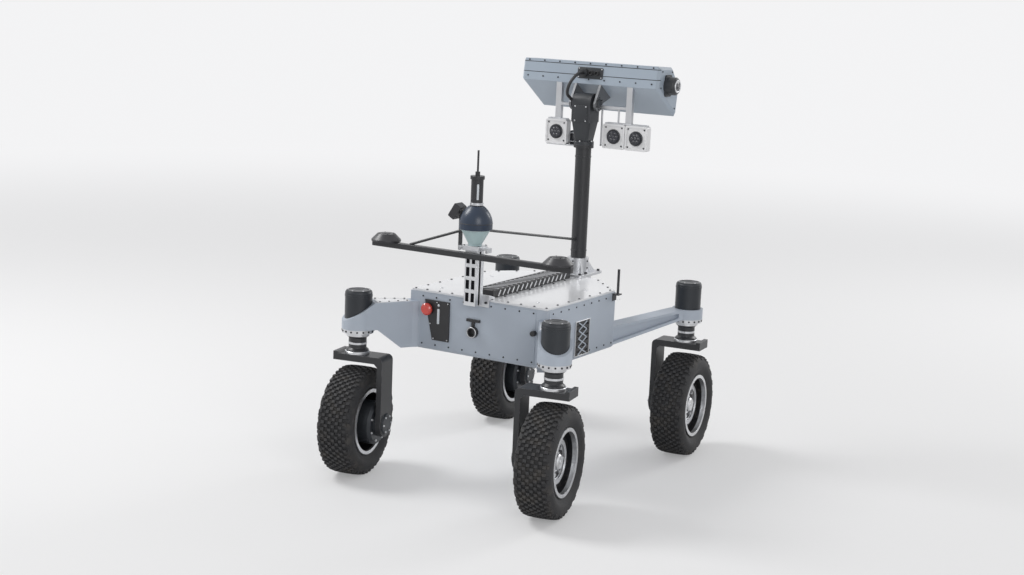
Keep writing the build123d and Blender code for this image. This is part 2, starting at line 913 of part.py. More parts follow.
# Cameras: a round can on a plate on the head's right end, and a small can beside the left lamp
side_camera_y = mast_y + side_camera_forward
side_camera_z = tilt_z - lamp_drop - lamp_side / 2 + side_camera_dia / 2
with BuildPart() as end_camera:
    end_plane = Plane(
        origin=(head_half_length, mast_y + end_camera_forward, tilt_z + end_camera_up),
        x_dir=(0, 1, 0),
        z_dir=(1, 0, 0),
    )
    with BuildSketch(end_plane):
        RectangleRounded(end_bracket_width, end_bracket_height, head_corner)
    extrude(amount=end_bracket_thick)
    with BuildSketch(end_plane):
        Circle(end_camera_dia / 2)
    extrude(amount=end_camera_length)
    chamfer(end_camera.faces().sort_by(Axis.X)[-1].edges(), end_camera_bevel)
    with BuildSketch(Plane(origin=(side_camera_x, side_camera_y, side_camera_z), x_dir=(1, 0, 0), z_dir=(0, 1, 0))):
        Circle(side_camera_dia / 2)
    extrude(amount=side_camera_length / 2, both=True)
    chamfer(end_camera.faces().group_by(Axis.Y)[0].edges(), end_camera_bevel)
    with Locations((side_camera_x, side_camera_y, side_camera_z - (side_camera_dia - side_foot_height) / 2)):
        Box(side_foot_width, side_camera_length - 2 * end_camera_bevel, side_foot_height)
end_camera.part.label = "end_camera"
export_step(end_camera.part, "parts/end_camera.step")

# Front lenses: round windows in the head's face, under its brow
face_slope = Vector(0, belly_front[0] - brow[0], belly_front[1] - brow[1]).normalized()
face_mid = ((brow[0] + belly_front[0]) / 2, (brow[1] + belly_front[1]) / 2)
with BuildPart() as lenses:
    for lens_x in lens_places:
        lens_plane = Plane(
            origin=(lens_x, face_mid[0], face_mid[1]),
            x_dir=(1, 0, 0),
            z_dir=(0, -face_slope.Z, face_slope.Y),
        )
        with BuildSketch(lens_plane):
            Circle(lens_dia / 2)
        extrude(amount=lens_rise)
lenses.part.label = "head_lenses"
export_step(lenses.part, "parts/head_lenses.step")

# Yoke: two cheeks under the head, joined by the tilt shaft
cheek_inner = pan_block_width / 2 + yoke_gap
cheek_outer = cheek_inner + yoke_thick
with BuildPart() as yoke:
    with BuildSketch(Plane.YZ):
        with BuildLine():
            Polyline(
                (mast_y - yoke_eye_dia / 2, tilt_z),
                ridge,
                belly_point(yoke_top_reach),
                (mast_y + yoke_eye_dia / 2, tilt_z),
            )
            ThreePointArc(
                (mast_y + yoke_eye_dia / 2, tilt_z),
                (mast_y, tilt_z - yoke_eye_dia / 2),
                (mast_y - yoke_eye_dia / 2, tilt_z),
            )
        make_face()
    extrude(amount=cheek_outer, both=True)
    with BuildSketch(Plane.YZ):
        with Locations((mast_y, tilt_z)):
            Rectangle(2 * head_belly_reach, 2 * head_belly_reach)
    extrude(amount=cheek_inner, both=True, mode=Mode.SUBTRACT)
    with BuildSketch(Plane.YZ):
        with Locations((mast_y, tilt_z)):
            Circle(tilt_shaft_dia / 2)
    extrude(amount=cheek_outer, both=True)
yoke.part.label = "tilt_yoke"
export_step(yoke.part, "parts/tilt_yoke.step")

# Lamps: flat square boxes hung under the head
lamp_z = tilt_z - lamp_drop
lamp_y = mast_y + lamp_forward
with BuildPart() as lamps:
    for lamp_x in left_lamp_places + right_lamp_places:
        with Locations((lamp_x, lamp_y, lamp_z)):
            Box(lamp_side, lamp_depth, lamp_side)
    fillet(lamps.edges().filter_by(Axis.Y), lamp_corner)
    for lamp_x in left_lamp_places + right_lamp_places:
        for facing in (-1, 1):
            with Locations((lamp_x, lamp_y + facing * (lamp_depth - bezel_depth) / 2, lamp_z)):
                Box(lamp_side - 2 * bezel_width, bezel_depth, lamp_side - 2 * bezel_width, mode=Mode.SUBTRACT)
lamps.part.label = "lamps"
export_step(lamps.part, "parts/lamps.step")

# Lamp eyes: round windows front and back of each lamp
with BuildPart() as eyes:
    for lamp_x in left_lamp_places + right_lamp_places:
        for facing in (-1, 1):
            eye_plane = Plane(
                origin=(lamp_x, lamp_y + facing * (lamp_depth / 2 - bezel_depth), lamp_z),
                x_dir=(1, 0, 0),
                z_dir=(0, facing, 0),
            )
            with BuildSketch(eye_plane):
                Circle(lamp_eye_dia / 2)
            extrude(amount=lamp_eye_rise)
eyes.part.label = "lamp_eyes"
export_step(eyes.part, "parts/lamp_eyes.step")

# Lamp straps: a strip on top of the lamps, a strut up to the head and a tie to the yoke
strap_bottom = lamp_z + lamp_side / 2
with BuildPart() as straps:
    for strut_x, places in ((left_strut_x, left_lamp_places), (right_strut_x, right_lamp_places)):
        outward = math.copysign(1, strut_x)
        strap_low = min(places) - lamp_side / 2 + lamp_corner
        strap_high = max(places) + lamp_side / 2 - lamp_corner
        with BuildSketch(Plane.XY.offset(strap_bottom)):
            with Locations(((strap_low + strap_high) / 2, lamp_y)):
                Rectangle(strap_high - strap_low, strap_width)
        extrude(amount=strap_thick)
        strut_plane = Plane.YZ.offset(strut_x)
        strut_near = max(lamp_y - strut_width / 2 - ridge[0], ridge_clear)
        strut_far = lamp_y + strut_width / 2 - ridge[0]
        with BuildSketch(strut_plane):
            with BuildLine():
                Polyline(
                    (ridge[0] + strut_near, strap_bottom),
                    (ridge[0] + strut_far, strap_bottom),
                    belly_point(strut_far),
                    belly_point(strut_near),
                    close=True,
                )
            make_face()
        extrude(amount=strut_width / 2, both=True)
        tie_z = tilt_z - tie_drop
        tie_mid = (strut_x + outward * cheek_outer) / 2
        with Locations((tie_mid, ridge[0] + strut_far / 2, tie_z)):
            Box(abs(strut_x) - cheek_outer, strut_far - 2 * ridge_clear, tie_height)
    foot_left = left_lamp_places[0] - lamp_side / 2 + lamp_corner
    foot_right = side_camera_x + side_camera_dia / 2
    foot_back = lamp_y - lamp_depth / 2
    foot_front = side_camera_y + side_camera_length / 2
    with Locations(
        (
            (foot_left + foot_right) / 2,
            (foot_back + foot_front) / 2,
            lamp_z - (lamp_side + strap_thick) / 2,
        )
    ):
        Box(foot_right - foot_left, foot_front - foot_back, strap_thick)
straps.part.label = "lamp_straps"
export_step(straps.part, "parts/lamp_straps.step")

# Head cable: out of the gland in the head's rear face, round in one bend and into the left cheek
gland_end = gland_y - gland_length
cheek_mid = -cheek_outer + yoke_thick / 2
bend_y = gland_end - cable_lead
bend_z = gland_z - cable_bend
corner_reach = cable_bend / math.cos(math.radians(cable_step / 2))
cable_points = [(gland_x, gland_end, gland_z)]
for count, cable_x in enumerate((gland_x, (gland_x + cheek_mid) / 2, cheek_mid)):
    turned = math.radians((count + 0.5) * cable_step)
    cable_points.append(
        (
            cable_x,
            bend_y - corner_reach * math.sin(turned),
            bend_z + corner_reach * math.cos(turned),
        )
    )
tail_turn = math.radians(3 * cable_step)
cable_points.append(
    (
        cheek_mid,
        cable_points[-1][1] - cable_tail * math.cos(tail_turn),
        cable_points[-1][2] - cable_tail * math.sin(tail_turn),
    )
)


def bend_radii(points):
    """Radius at each inner corner of a cable's route: as large as its two runs allow."""
    radii = []
    for before, corner, after in zip(points, points[1:], points[2:]):
        run_in = Vector(*corner) - Vector(*before)
        run_out = Vector(*after) - Vector(*corner)
        turn = math.radians(run_in.get_angle(run_out))
        radii.append(0.45 * min(run_in.length, run_out.length) / math.tan(turn / 2))
    return radii


cable_radii = bend_radii(cable_points)
print("head cable radii", [round(radius, 1) for radius in cable_radii])
with BuildPart() as cable:
    with BuildLine():
        route = FilletPolyline(*cable_points, radius=cable_radii)
    with BuildSketch(Plane(origin=cable_points[0], z_dir=route % 0)):
        Circle(cable_dia / 2)
    sweep()
print("head cable volume", cable.part.volume, math.pi * cable_dia**2 / 4 * route.length)
cable.part.label = "head_cable"
export_step(cable.part, "parts/head_cable.step")

# Post: a square rail with paired windows front and back and a slot in each flank,
# on an angle bracket at the deck's rear edge
with BuildPart() as post:
    with BuildSketch(Plane.XY.offset(post_foot)):
        with Locations((0, post_y)):
            Rectangle(post_side, post_side)
            with GridLocations(post_side - post_slot_depth, 1, 2, 1):
                Rectangle(post_slot_depth, post_slot, mode=Mode.SUBTRACT)
    extrude(amount=post_head - post_foot)
    for facing in (-1, 1):
        window_plane = Plane(
            origin=(0, post_y + facing * post_side / 2, (post_foot + post_head) / 2),
            x_dir=(-facing, 0, 0),
            z_dir=(0, facing, 0),
        )
        with BuildSketch(window_plane):
            with GridLocations(window_spread, window_pitch, 2, window_rows):
                Rectangle(window_width, window_height)
        extrude(amount=-window_depth, mode=Mode.SUBTRACT)
post.part.label = "post"
export_step(post.part, "parts/post.step")

with BuildPart() as bracket:
    with BuildSketch(Plane.YZ):
        with BuildLine():
            Polyline(
                (body_rear, deck_top - bracket_drop),
                (body_rear, deck_top),
                (body_rear + bracket_lip, deck_top),
                (body_rear + bracket_lip, deck_top + bracket_thick),
                (body_rear, deck_top + bracket_rise),
                (body_rear - bracket_thick, deck_top + bracket_rise),
                (body_rear - bracket_thick, deck_top - bracket_drop),
                close=True,
            )
        make_face()
    extrude(amount=bracket_width / 2, both=True)
bracket.part.label = "post_bracket"
export_step(bracket.part, "parts/post_bracket.step")

# Crossbar across the back of the post, and the pucks at its ends
with BuildPart() as crossbar:
    with Locations((0, bar_y, bar_z)):
        Box(2 * bar_half_length, bar_side, bar_side)
    fillet(crossbar.edges().filter_by(Axis.X), bar_corner)
crossbar.part.label = "crossbar"
export_step(crossbar.part, "parts/crossbar.step")

with BuildPart() as pucks:
    puck_x = bar_half_length - puck_dia / 2
    with BuildSketch(Plane.XY.offset(bar_z + bar_side / 2)):
        with Locations((-puck_x, bar_y), (puck_x, bar_y)):
            Circle(puck_dia / 2)
    extrude(amount=puck_foot)
    puck_taper = math.degrees(math.atan2((puck_dia - puck_top_dia) / 2, puck_height - puck_foot))
    with BuildSketch(Plane.XY.offset(bar_z + bar_side / 2 + puck_foot)):
        with Locations((-puck_x, bar_y), (puck_x, bar_y)):
            Circle(puck_dia / 2)
    extrude(amount=puck_height - puck_foot, taper=puck_taper)
pucks.part.label = "antenna_pucks"
export_step(pucks.part, "parts/antenna_pucks.step")

# Saddle with two clamp ears on the post's head, and above it the antenna's cone, dome,
# radio and whip
saddle_top = post_head + saddle_height
cone_top = saddle_top + cone_height
dome_top = cone_top + dome_height
radio_top = dome_top + radio_height
stack_axis = Axis((0, post_y, 0), (0, 0, 1))
with BuildPart() as saddle:
    with BuildSketch(Plane.XY.offset(post_head)):
        with Locations((0, post_y)):
            RectangleRounded(saddle_width, saddle_depth, saddle_corner)
    extrude(amount=saddle_height)
    for facing in (-1, 1):
        with BuildSketch(Plane.XY.offset(post_head + ear_low)):
            with Locations((facing * (ear_reach + saddle_width / 2 - saddle_corner) / 2, post_y)):
                Rectangle(ear_reach - saddle_width / 2 + saddle_corner, ear_width)
        extrude(amount=ear_thick)
        with BuildSketch(Plane.XY.offset(post_head + ear_low - ear_flange + ear_thick)):
            with Locations((facing * (ear_reach - ear_thick / 2), post_y)):
                Rectangle(ear_thick, ear_width)
        extrude(amount=ear_flange)
saddle.part.label = "post_saddle"
export_step(saddle.part, "parts/post_saddle.step")

with BuildPart() as cone:
    with BuildSketch(Plane(origin=(0, post_y, 0), x_dir=(1, 0, 0), z_dir=(0, -1, 0))):
        with BuildLine():
            Polyline(
                (0, saddle_top),
                (cone_low_dia / 2, saddle_top),
                (cone_low_dia / 2, saddle_top + cone_lip_height),
                (cone_high_dia / 2, cone_top - cone_lip_height),
                (cone_high_dia / 2, cone_top),
                (0, cone_top),
                close=True,
            )
        make_face()
    revolve(axis=stack_axis)
cone.part.label = "antenna_cone"
export_step(cone.part, "parts/antenna_cone.step")

with BuildPart() as dome:
    with BuildSketch(Plane(origin=(0, post_y, 0), x_dir=(1, 0, 0), z_dir=(0, -1, 0))):
        with BuildLine():
            Polyline(
                (dome_crown_dia / 2, dome_top),
                (0, dome_top),
                (0, cone_top),
                (dome_dia / 2, cone_top),
                (dome_dia / 2, cone_top + dome_rim_height),
            )
            RadiusArc(
                (dome_dia / 2, cone_top + dome_rim_height),
                (dome_crown_dia / 2, dome_top),
                -dome_height,
            )
        make_face()
    revolve(axis=stack_axis)
dome.part.label = "antenna_dome"
export_step(dome.part, "parts/antenna_dome.step")

with BuildPart() as radio:
    with BuildSketch(Plane.XY.offset(dome_top)):
        with Locations((0, post_y)):
            Circle(radio_dia / 2)
    extrude(amount=radio_height)
    with BuildSketch(Plane.XY.offset(radio_top - radio_cap_height)):
        with Locations((0, post_y)):
            Circle(radio_cap_dia / 2)
    extrude(amount=radio_cap_height)
    with BuildSketch(Plane.XY.offset(radio_top)):
        with Locations((0, post_y)):
            Circle(whip_foot_dia / 2)
    extrude(amount=whip_foot_height)
    with BuildSketch(Plane.XY.offset(radio_top)):
        with Locations((0, post_y)):
            Circle(whip_dia / 2)
    extrude(amount=whip_length)
radio.part.label = "radio"
export_step(radio.part, "parts/radio.step")

# Side receiver: a small box that leans against the dome's left, on a strip from the saddle's ear
receiver_z = cone_top + receiver_rise
strip_low = post_head + ear_low + ear_thick - ear_flange
strip_high = receiver_z + strip_overlap
strip_x = -ear_reach - strip_thick / 2
with BuildPart() as receiver:
    lean_plane = Plane(
        origin=(receiver_x, post_y, receiver_z),
        x_dir=(math.cos(math.radians(receiver_lean)), 0, -math.sin(math.radians(receiver_lean))),
        z_dir=(0, -1, 0),
    )
    with BuildSketch(lean_plane):
        RectangleRounded(receiver_width, receiver_height, receiver_corner)
    extrude(amount=receiver_depth / 2, both=True)
    with BuildSketch(Plane(origin=(strip_x, post_y, 0), x_dir=(1, 0, 0), z_dir=(0, -1, 0))):
        with Locations((0, (strip_low + strip_high) / 2)):
            Rectangle(strip_thick, strip_high - strip_low)
    extrude(amount=strip_width / 2, both=True)
receiver.part.label = "side_receiver"
export_step(receiver.part, "parts/side_receiver.step")


# Braces: one rod from the cone's lip down to the crossbar, one forward to the mast
brace_start_x = cone_high_dia / 2 - brace_bury
brace_start_y = 2 * brace_dia
brace_ends = [
    (
        (-brace_start_x, post_y - brace_start_y, cone_top - brace_drop),
        (-brace_foot_x, bar_y, bar_z + bar_side / 2),
    ),
    (
        (brace_start_y, post_y + brace_start_x, cone_top - brace_drop),
        (brace_mast_x, mast_y - (mast_dia - mast_wall) / 2, deck_top + brace_mast_rise),
    ),
]
with BuildPart() as braces:
    for brace_start, brace_end in brace_ends:
        run = Vector(*brace_end) - Vector(*brace_start)
        with BuildSketch(Plane(origin=brace_start, z_dir=run)):
            Circle(brace_dia / 2)
        extrude(amount=run.length)
    for seat in (cone.part, crossbar.part, mast.part):
        add(seat, mode=Mode.SUBTRACT)
braces.part.label = "braces"
export_step(braces.part, "parts/braces.step")

# Control panel: a tapered plate on the rear face, notched for the stop button's collar
rear_face = Plane(origin=(0, body_rear, 0), x_dir=(1, 0, 0), z_dir=(0, -1, 0))
panel_left = -body_half_width + panel_inset
panel_right = panel_left + panel_width
panel_top = deck_top - panel_drop
panel_bottom = panel_top - panel_height
button_place = (-body_half_width + button_inset, deck_top - button_drop)
with BuildPart() as panel:
    with BuildSketch(rear_face):
        with BuildLine():
            Polyline(
                (panel_left, panel_top),
                (panel_right, panel_top),
                (panel_right, panel_bottom),
                (-body_half_width + panel_low_inset, panel_bottom),
                close=True,
            )
        make_face()
        with Locations(button_place):
            Circle(button_collar_dia / 2 + button_clear, mode=Mode.SUBTRACT)
    extrude(amount=panel_thick)
panel.part.label = "control_panel"
export_step(panel.part, "parts/control_panel.step")

# Stop button: collar and mushroom head
with BuildPart() as button:
    with BuildSketch(rear_face):
        with Locations(button_place):
            Circle(button_collar_dia / 2)
    extrude(amount=button_collar_rise)
    with BuildSketch(rear_face.offset(button_collar_rise)):
        with Locations(button_place):
            Circle(button_dia / 2)
    extrude(amount=button_rise - button_collar_rise)
    chamfer(button.faces().sort_by(Axis.Y)[0].edges(), button_bevel)
button.part.label = "stop_button"
export_step(button.part, "parts/stop_button.step")

# Rear fittings: the charging socket, its latch above and a small knob
socket_place = (socket_x, deck_top - socket_drop)
latch_place = (socket_x, deck_top - latch_drop)
knob_place = (body_half_width - knob_inset, deck_top - knob_drop)
with BuildPart() as fittings:
    with BuildSketch(rear_face):
        with Locations(socket_place):
            Circle(socket_dia / 2)
        with Locations(knob_place):
            Circle(knob_dia / 2)
    extrude(amount=socket_rise)
    with BuildSketch(rear_face.offset(socket_rise)):
        with Locations(socket_place):
            Circle(socket_bore_dia / 2)
    extrude(amount=-socket_depth, mode=Mode.SUBTRACT)
    with BuildSketch(rear_face):
        with Locations(latch_place):
            Rectangle(latch_width, latch_height)
        with Locations((socket_x, deck_top - (latch_drop + socket_drop - socket_dia / 2) / 2)):
            Rectangle(latch_stem, socket_drop - socket_dia / 2 - latch_drop)
    extrude(amount=latch_rise)
fittings.part.label = "rear_fittings"
export_step(fittings.part, "parts/rear_fittings.step")

# Side grilles: louvred plates, one on each side of the chassis
with BuildPart() as grilles:
    grille_mid = ((grille_rear + grille_front) / 2, deck_top - grille_drop - grille_height / 2)
    louvres = int(grille_height / louvre_pitch)
    louvre_length = grille_front - grille_rear - 2 * louvre_margin
    for side in (-1, 1):
        face = Plane(origin=(side * body_half_width, 0, 0), x_dir=(0, 1, 0), z_dir=(1, 0, 0))
        with BuildSketch(face):
            with Locations(grille_mid):
                Rectangle(grille_front - grille_rear, grille_height)
                with GridLocations(1, louvre_pitch, 1, louvres):
                    Rectangle(louvre_length, louvre_height, mode=Mode.SUBTRACT)
        extrude(amount=side * grille_thick)
grilles.part.label = "side_grilles"
export_step(grilles.part, "parts/side_grilles.step")

# Corner antenna: a thin rod on an angle foot at the right shoulder
corner_antenna_x = body_half_width + corner_antenna_out
corner_antenna_y = body_shoulder - corner_antenna_back
foot_top = deck_bottom - foot_drop
with BuildPart() as corner_antenna:
    with Locations((body_half_width + foot_width / 2, corner_antenna_y, foot_top - foot_thick / 2)):
        Box(foot_width, foot_width, foot_thick)
    with Locations((body_half_width + foot_thick / 2, corner_antenna_y, foot_top - foot_width / 2)):
        Box(foot_thick, foot_width, foot_width)
    with BuildSketch(Plane.XY.offset(foot_top)):
        with Locations((corner_antenna_x, corner_antenna_y)):
            Circle(corner_antenna_dia / 2)
    extrude(amount=corner_antenna_length)
corner_antenna.part.label = "corner_antenna"
export_step(corner_antenna.part, "parts/corner_antenna.step")
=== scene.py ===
import json
import math

import bmesh
import bpy
from mathutils import Matrix, Quaternion, Vector


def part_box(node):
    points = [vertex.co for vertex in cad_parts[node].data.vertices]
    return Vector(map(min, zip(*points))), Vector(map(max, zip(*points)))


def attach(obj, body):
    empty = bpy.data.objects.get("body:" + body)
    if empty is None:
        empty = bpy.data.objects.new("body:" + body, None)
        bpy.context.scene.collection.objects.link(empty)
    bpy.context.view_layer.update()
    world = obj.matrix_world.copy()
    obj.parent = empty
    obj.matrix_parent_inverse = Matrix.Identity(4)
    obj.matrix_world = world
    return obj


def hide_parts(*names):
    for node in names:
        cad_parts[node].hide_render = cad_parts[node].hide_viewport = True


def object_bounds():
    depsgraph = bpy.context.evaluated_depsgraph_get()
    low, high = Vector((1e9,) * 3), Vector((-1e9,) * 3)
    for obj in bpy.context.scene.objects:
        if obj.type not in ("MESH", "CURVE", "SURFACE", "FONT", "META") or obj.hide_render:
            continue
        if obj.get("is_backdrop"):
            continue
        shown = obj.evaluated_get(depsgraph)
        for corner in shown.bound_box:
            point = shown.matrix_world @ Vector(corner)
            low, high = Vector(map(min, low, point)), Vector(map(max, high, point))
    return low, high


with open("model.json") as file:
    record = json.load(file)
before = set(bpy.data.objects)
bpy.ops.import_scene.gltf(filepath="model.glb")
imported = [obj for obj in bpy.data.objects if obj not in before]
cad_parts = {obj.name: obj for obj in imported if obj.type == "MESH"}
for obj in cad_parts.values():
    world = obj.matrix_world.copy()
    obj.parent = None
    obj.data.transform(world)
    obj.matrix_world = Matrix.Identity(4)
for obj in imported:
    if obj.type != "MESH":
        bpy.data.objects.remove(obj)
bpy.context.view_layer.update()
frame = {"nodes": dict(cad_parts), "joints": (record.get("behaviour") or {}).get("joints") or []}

# Camera: at the height of a raised hand, behind the rover and to its right. The lens is longer than
# a pocket camera's, so that the rover fills the frame from that same place.
scene = bpy.context.scene
eye = (2.6521, -4.4683, 1.5255)
aim = Vector((-0.04, -0.039, 0.56))
camera_lean = 2.39


def put(name, data):
    """Puts a new object into the scene."""
    made = bpy.data.objects.new(name, data)
    scene.collection.objects.link(made)
    return made


def look(thing, place, lean=0):
    """Stands a camera or a lamp at a place and aims it at the rover's middle; it leans by degrees."""
    sight = (aim - Vector(place)).to_track_quat("-Z", "Y")
    thing.location = place
    thing.rotation_mode = "QUATERNION"
    thing.rotation_quaternion = sight @ Quaternion((0, 0, 1), math.radians(lean))


camera_data = bpy.data.cameras.new("camera")
camera_data.lens = 60
scene.camera = put("camera", camera_data)
look(scene.camera, eye, camera_lean)


# Studio: a pale floor that fades into a pale surround, lit by one broad lamp high on the left, by
# weaker ones on the camera's side and beyond the nose, and by an even sky.
class Value:
    """A number or colour in a node tree. Arithmetic on it adds Math nodes to that tree."""

    def __init__(self, tree, socket):
        self.tree = tree
        self.socket = socket

    def math(self, operation, *terms):
        return self.tree.node("Math", 0, {"operation": operation}, terms)

    def __add__(self, other):
        return self.math("ADD", self, other)

    def __sub__(self, other):
        return self.math("SUBTRACT", self, other)

    def __rsub__(self, other):
        return self.math("SUBTRACT", other, self)

    def __mul__(self, other):
        return self.math("MULTIPLY", self, other)

    __radd__ = __add__
    __rmul__ = __mul__

    def wave(self):
        return self.math("SINE", self)

    def step(self, low, high):
        """0 below low, 1 above high and smooth between them; low may be the larger one."""
        sockets = {"Value": self, "From Min": low, "From Max": high}
        return self.tree.node("MapRange", "Result", {"interpolation_type": "SMOOTHSTEP"}, sockets)

    def within(self, low, high, rise, fall):
        """1 between low and high and 0 outside them, rising and falling over two widths."""
        return self.step(low, low + rise) * self.step(high, high - fall)


class Tree:
    """A node tree that grows by one method."""

    def __init__(self, owner):
        owner.use_nodes = True
        self.nodes = owner.node_tree.nodes
        self.links = owner.node_tree.links

    def feed(self, socket, value):
        if isinstance(value, Value):
            self.links.new(value.socket, socket)
        else:
            socket.default_value = (*value, 1) if socket.type == "RGBA" else value

    def node(self, kind, output, settings, inputs):
        """Adds a node: its settings first, then its sockets by name or number. Gives one output."""
        made = self.nodes.new("ShaderNode" + kind)
        for name, value in settings.items():
            setattr(made, name, value)
        pairs = inputs.items() if isinstance(inputs, dict) else enumerate(inputs)
        for name, value in pairs:
            self.feed(made.inputs[name], value)
        return Value(self, made.outputs[output])

    def mix(self, factor, first, second):
        """Colour that turns from first to second."""
        return self.node("Mix", 2, {"data_type": "RGBA"}, {0: factor, 6: first, 7: second})

    def vector(self, operation, output, *terms):
        """Vector maths. Output 0 is a vector and output Value a number."""
        return self.node("VectorMath", output, {"operation": operation}, terms)


scene.view_settings.view_transform = "Standard"
floor_radius = 14
floor_roughness = 0.7
floor_gloss = 0.2
fade_start = 1.6
fade_end = 9
floor_colour = (0.86, 0.86, 0.86)
surround_colour = (0.9, 0.9, 0.91)
floor_lift = 0.3
sky_strength = 0.46

bm = bmesh.new()
bmesh.ops.create_circle(bm, cap_ends=True, segments=96, radius=floor_radius)
floor_mesh = bpy.data.meshes.new("floor")
bm.to_mesh(floor_mesh)
bm.free()
put("floor", floor_mesh)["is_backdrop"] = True

floor_material = bpy.data.materials.new("floor")
floor_mesh.materials.append(floor_material)
tree = Tree(floor_material)
shader = tree.nodes["Principled BSDF"]
tree.feed(shader.inputs["Base Color"], floor_colour)
tree.feed(shader.inputs["Roughness"], floor_roughness)
tree.feed(shader.inputs["Specular IOR Level"], floor_gloss)
point = tree.node("TexCoord", "Object", {}, {})
distance = tree.vector("LENGTH", "Value", point)
seen = tree.node("LightPath", "Is Camera Ray", {}, {})
glow = tree.node("Emission", 0, {}, {"Color": surround_colour})
fade = distance.step(fade_start, fade_end) * (1 - floor_lift) + floor_lift
surface = tree.node("MixShader", 0, {}, [fade * seen, Value(tree, shader.outputs[0]), glow])
tree.feed(tree.nodes["Material Output"].inputs["Surface"], surface)

world = bpy.data.worlds.new("surround")
scene.world = world
tree = Tree(world)
rays = ("Is Camera Ray", "Is Glossy Ray", "Is Transmission Ray")
path = [tree.node("LightPath", ray, {}, {}) for ray in rays]
background = tree.nodes["Background"]
tree.feed(background.inputs["Color"], surround_colour)
direct = (path[0] + path[1] + path[2]).step(0, 1)
tree.feed(background.inputs["Strength"], direct * (1 - sky_strength) + sky_strength)

# Each lamp: name, place, size across and power in watts
for name, place, size, power in (
    ("key", (-3.6, -1.2, 4.2), 2, 150),
    ("fill", (3.8, -3.4, 2.4), 2.4, 62),
    ("rim", (1.6, 4.6, 2.8), 1.6, 60),
):
    lamp_data = bpy.data.lights.new(name, "AREA")
    lamp_data.size = size
    lamp_data.energy = power
    look(put(name, lamp_data), place)


# Chassis: a box of welded aluminium plate, sprayed a light blue grey that is painted darker and
# bluer as the shade on its sides. Thin cover plates close its rear, its sides and its nose, each held
# by a row of small black screws.
class Finish(Tree):
    """The finish of one kind of surface, laid on in the object's own coordinates, and its slot."""

    def __init__(self, name, metallic=0, coat=0):
        self.slot = name
        self.material = bpy.data.materials.new(name)
        super().__init__(self.material)
        self.inputs = self.nodes["Principled BSDF"].inputs
        self.inputs["Metallic"].default_value = metallic
        self.inputs["Coat Weight"].default_value = coat
        self.inputs["Coat Roughness"].default_value = 0.12
        self.place = self.node("TexCoord", "Object", {}, {})

    def grain(self, size, detail=2, stretch=(1, 1, 1)):
        """Even noise from 0 to 1, with lumps of about one size in metres."""
        spot = self.node("Mapping", 0, {}, {"Vector": self.place, "Scale": stretch})
        return self.node("TexNoise", "Fac", {}, {"Vector": spot, "Scale": 1 / size, "Detail": detail})

    def along(self, letter):
        """How far a point lies along X, Y or Z, in metres."""
        return self.node("SeparateXYZ", letter, {}, {"Vector": self.place})

    def rounded(self, width):
        """The way out of the surface, with its edges rounded by a width."""
        return self.node("Bevel", 0, {"samples": 6}, {"Radius": width})

    def edges(self, width):
        """1 on outer and inner edges of a face and 0 on its flat."""
        flat_normal = self.node("NewGeometry", "Normal", {}, {})
        return self.vector("DOT_PRODUCT", "Value", self.rounded(width), flat_normal).step(0.995, 0.86)

    def lay(self, colour, roughness, height, depth, width):
        """Feeds the shader: a relief of one depth over edges that are rounded by a width."""
        sockets = {"Height": height, "Distance": depth, "Normal": self.rounded(width)}
        relief = self.node("Bump", 0, {}, sockets)
        self.feed(self.inputs["Base Color"], colour)
        self.feed(self.inputs["Roughness"], roughness)
        self.feed(self.inputs["Normal"], relief)


def shade(colour, factor):
    return tuple(min(value * factor, 0.95) for value in colour)


def painted(name, colour, rubbed, roughness, width=0.0012, coat=0, wear=0.6):
    """Sprayed paint: fine orange peel, a slow drift of tone, and edges that are rubbed in places."""
    finish = Finish(name, coat=coat)
    drift = finish.grain(0.11, 4)
    marks = finish.grain(0.006, 5)
    rub = finish.edges(width) * marks.step(0.4, 0.66) * wear
    tone = finish.mix(drift, shade(colour, 0.93), shade(colour, 1.06))
    tone = finish.mix(rub, tone, shade(rubbed, 1))
    peel = finish.grain(0.0011, 1)
    finish.lay(tone, marks * 0.1 + drift * 0.06 + (roughness - 0.08), peel, 0.00002, width)
    return finish


def dress(finish, *nodes):
    """Gives a CAD node its finish."""
    for node in nodes:
        frame["nodes"][node].material_slots[0].material = finish.material


def close(bm):
    """Joins points that meet and turns every face outward."""
    bmesh.ops.remove_doubles(bm, verts=bm.verts, dist=0.00001)
    bmesh.ops.recalc_face_normals(bm, faces=bm.faces)


def piece(name, bm, finish, body="root", *nodes, slot=None):
    """Turns a shape into a finished piece that rides on a body, and may stand for CAD nodes."""
    close(bm)
    mesh = bpy.data.meshes.new(name)
    bm.to_mesh(mesh)
    bm.free()
    mesh.shade_smooth()
    mesh.set_sharp_from_angle(angle=math.radians(34))
    mesh.materials.append(finish.material)
    made = put(name, mesh)
    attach(made, body)
    if nodes:
        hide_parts(*nodes)


def facing(point, out):
    """A place on a face: its origin at a point and its Z axis along the way out of that face."""
    return Matrix.Translation(point) @ Vector(out).to_track_quat("Z", "Y").to_matrix().to_4x4()


def moved(x, y, z):
    """A place that is moved and not turned."""
    return Matrix.Translation((x, y, z))


def join(bm, part, places):
    """Adds copies of a small shape to a larger one, one at each place."""
    mesh = bpy.data.meshes.new("part")
    part.to_mesh(mesh)
    part.free()
    for where in places:
        first = len(bm.verts)
        bm.from_mesh(mesh)
        bm.verts.ensure_lookup_table()
        bmesh.ops.transform(bm, matrix=where, verts=bm.verts[first:])
    bpy.data.meshes.remove(mesh)


def copies(name, part, places, finish, body="root", *nodes):
    """A finished piece that is made of copies of one small shape."""
    bm = bmesh.new()
    join(bm, part, places)
    piece(name, bm, finish, body, *nodes)


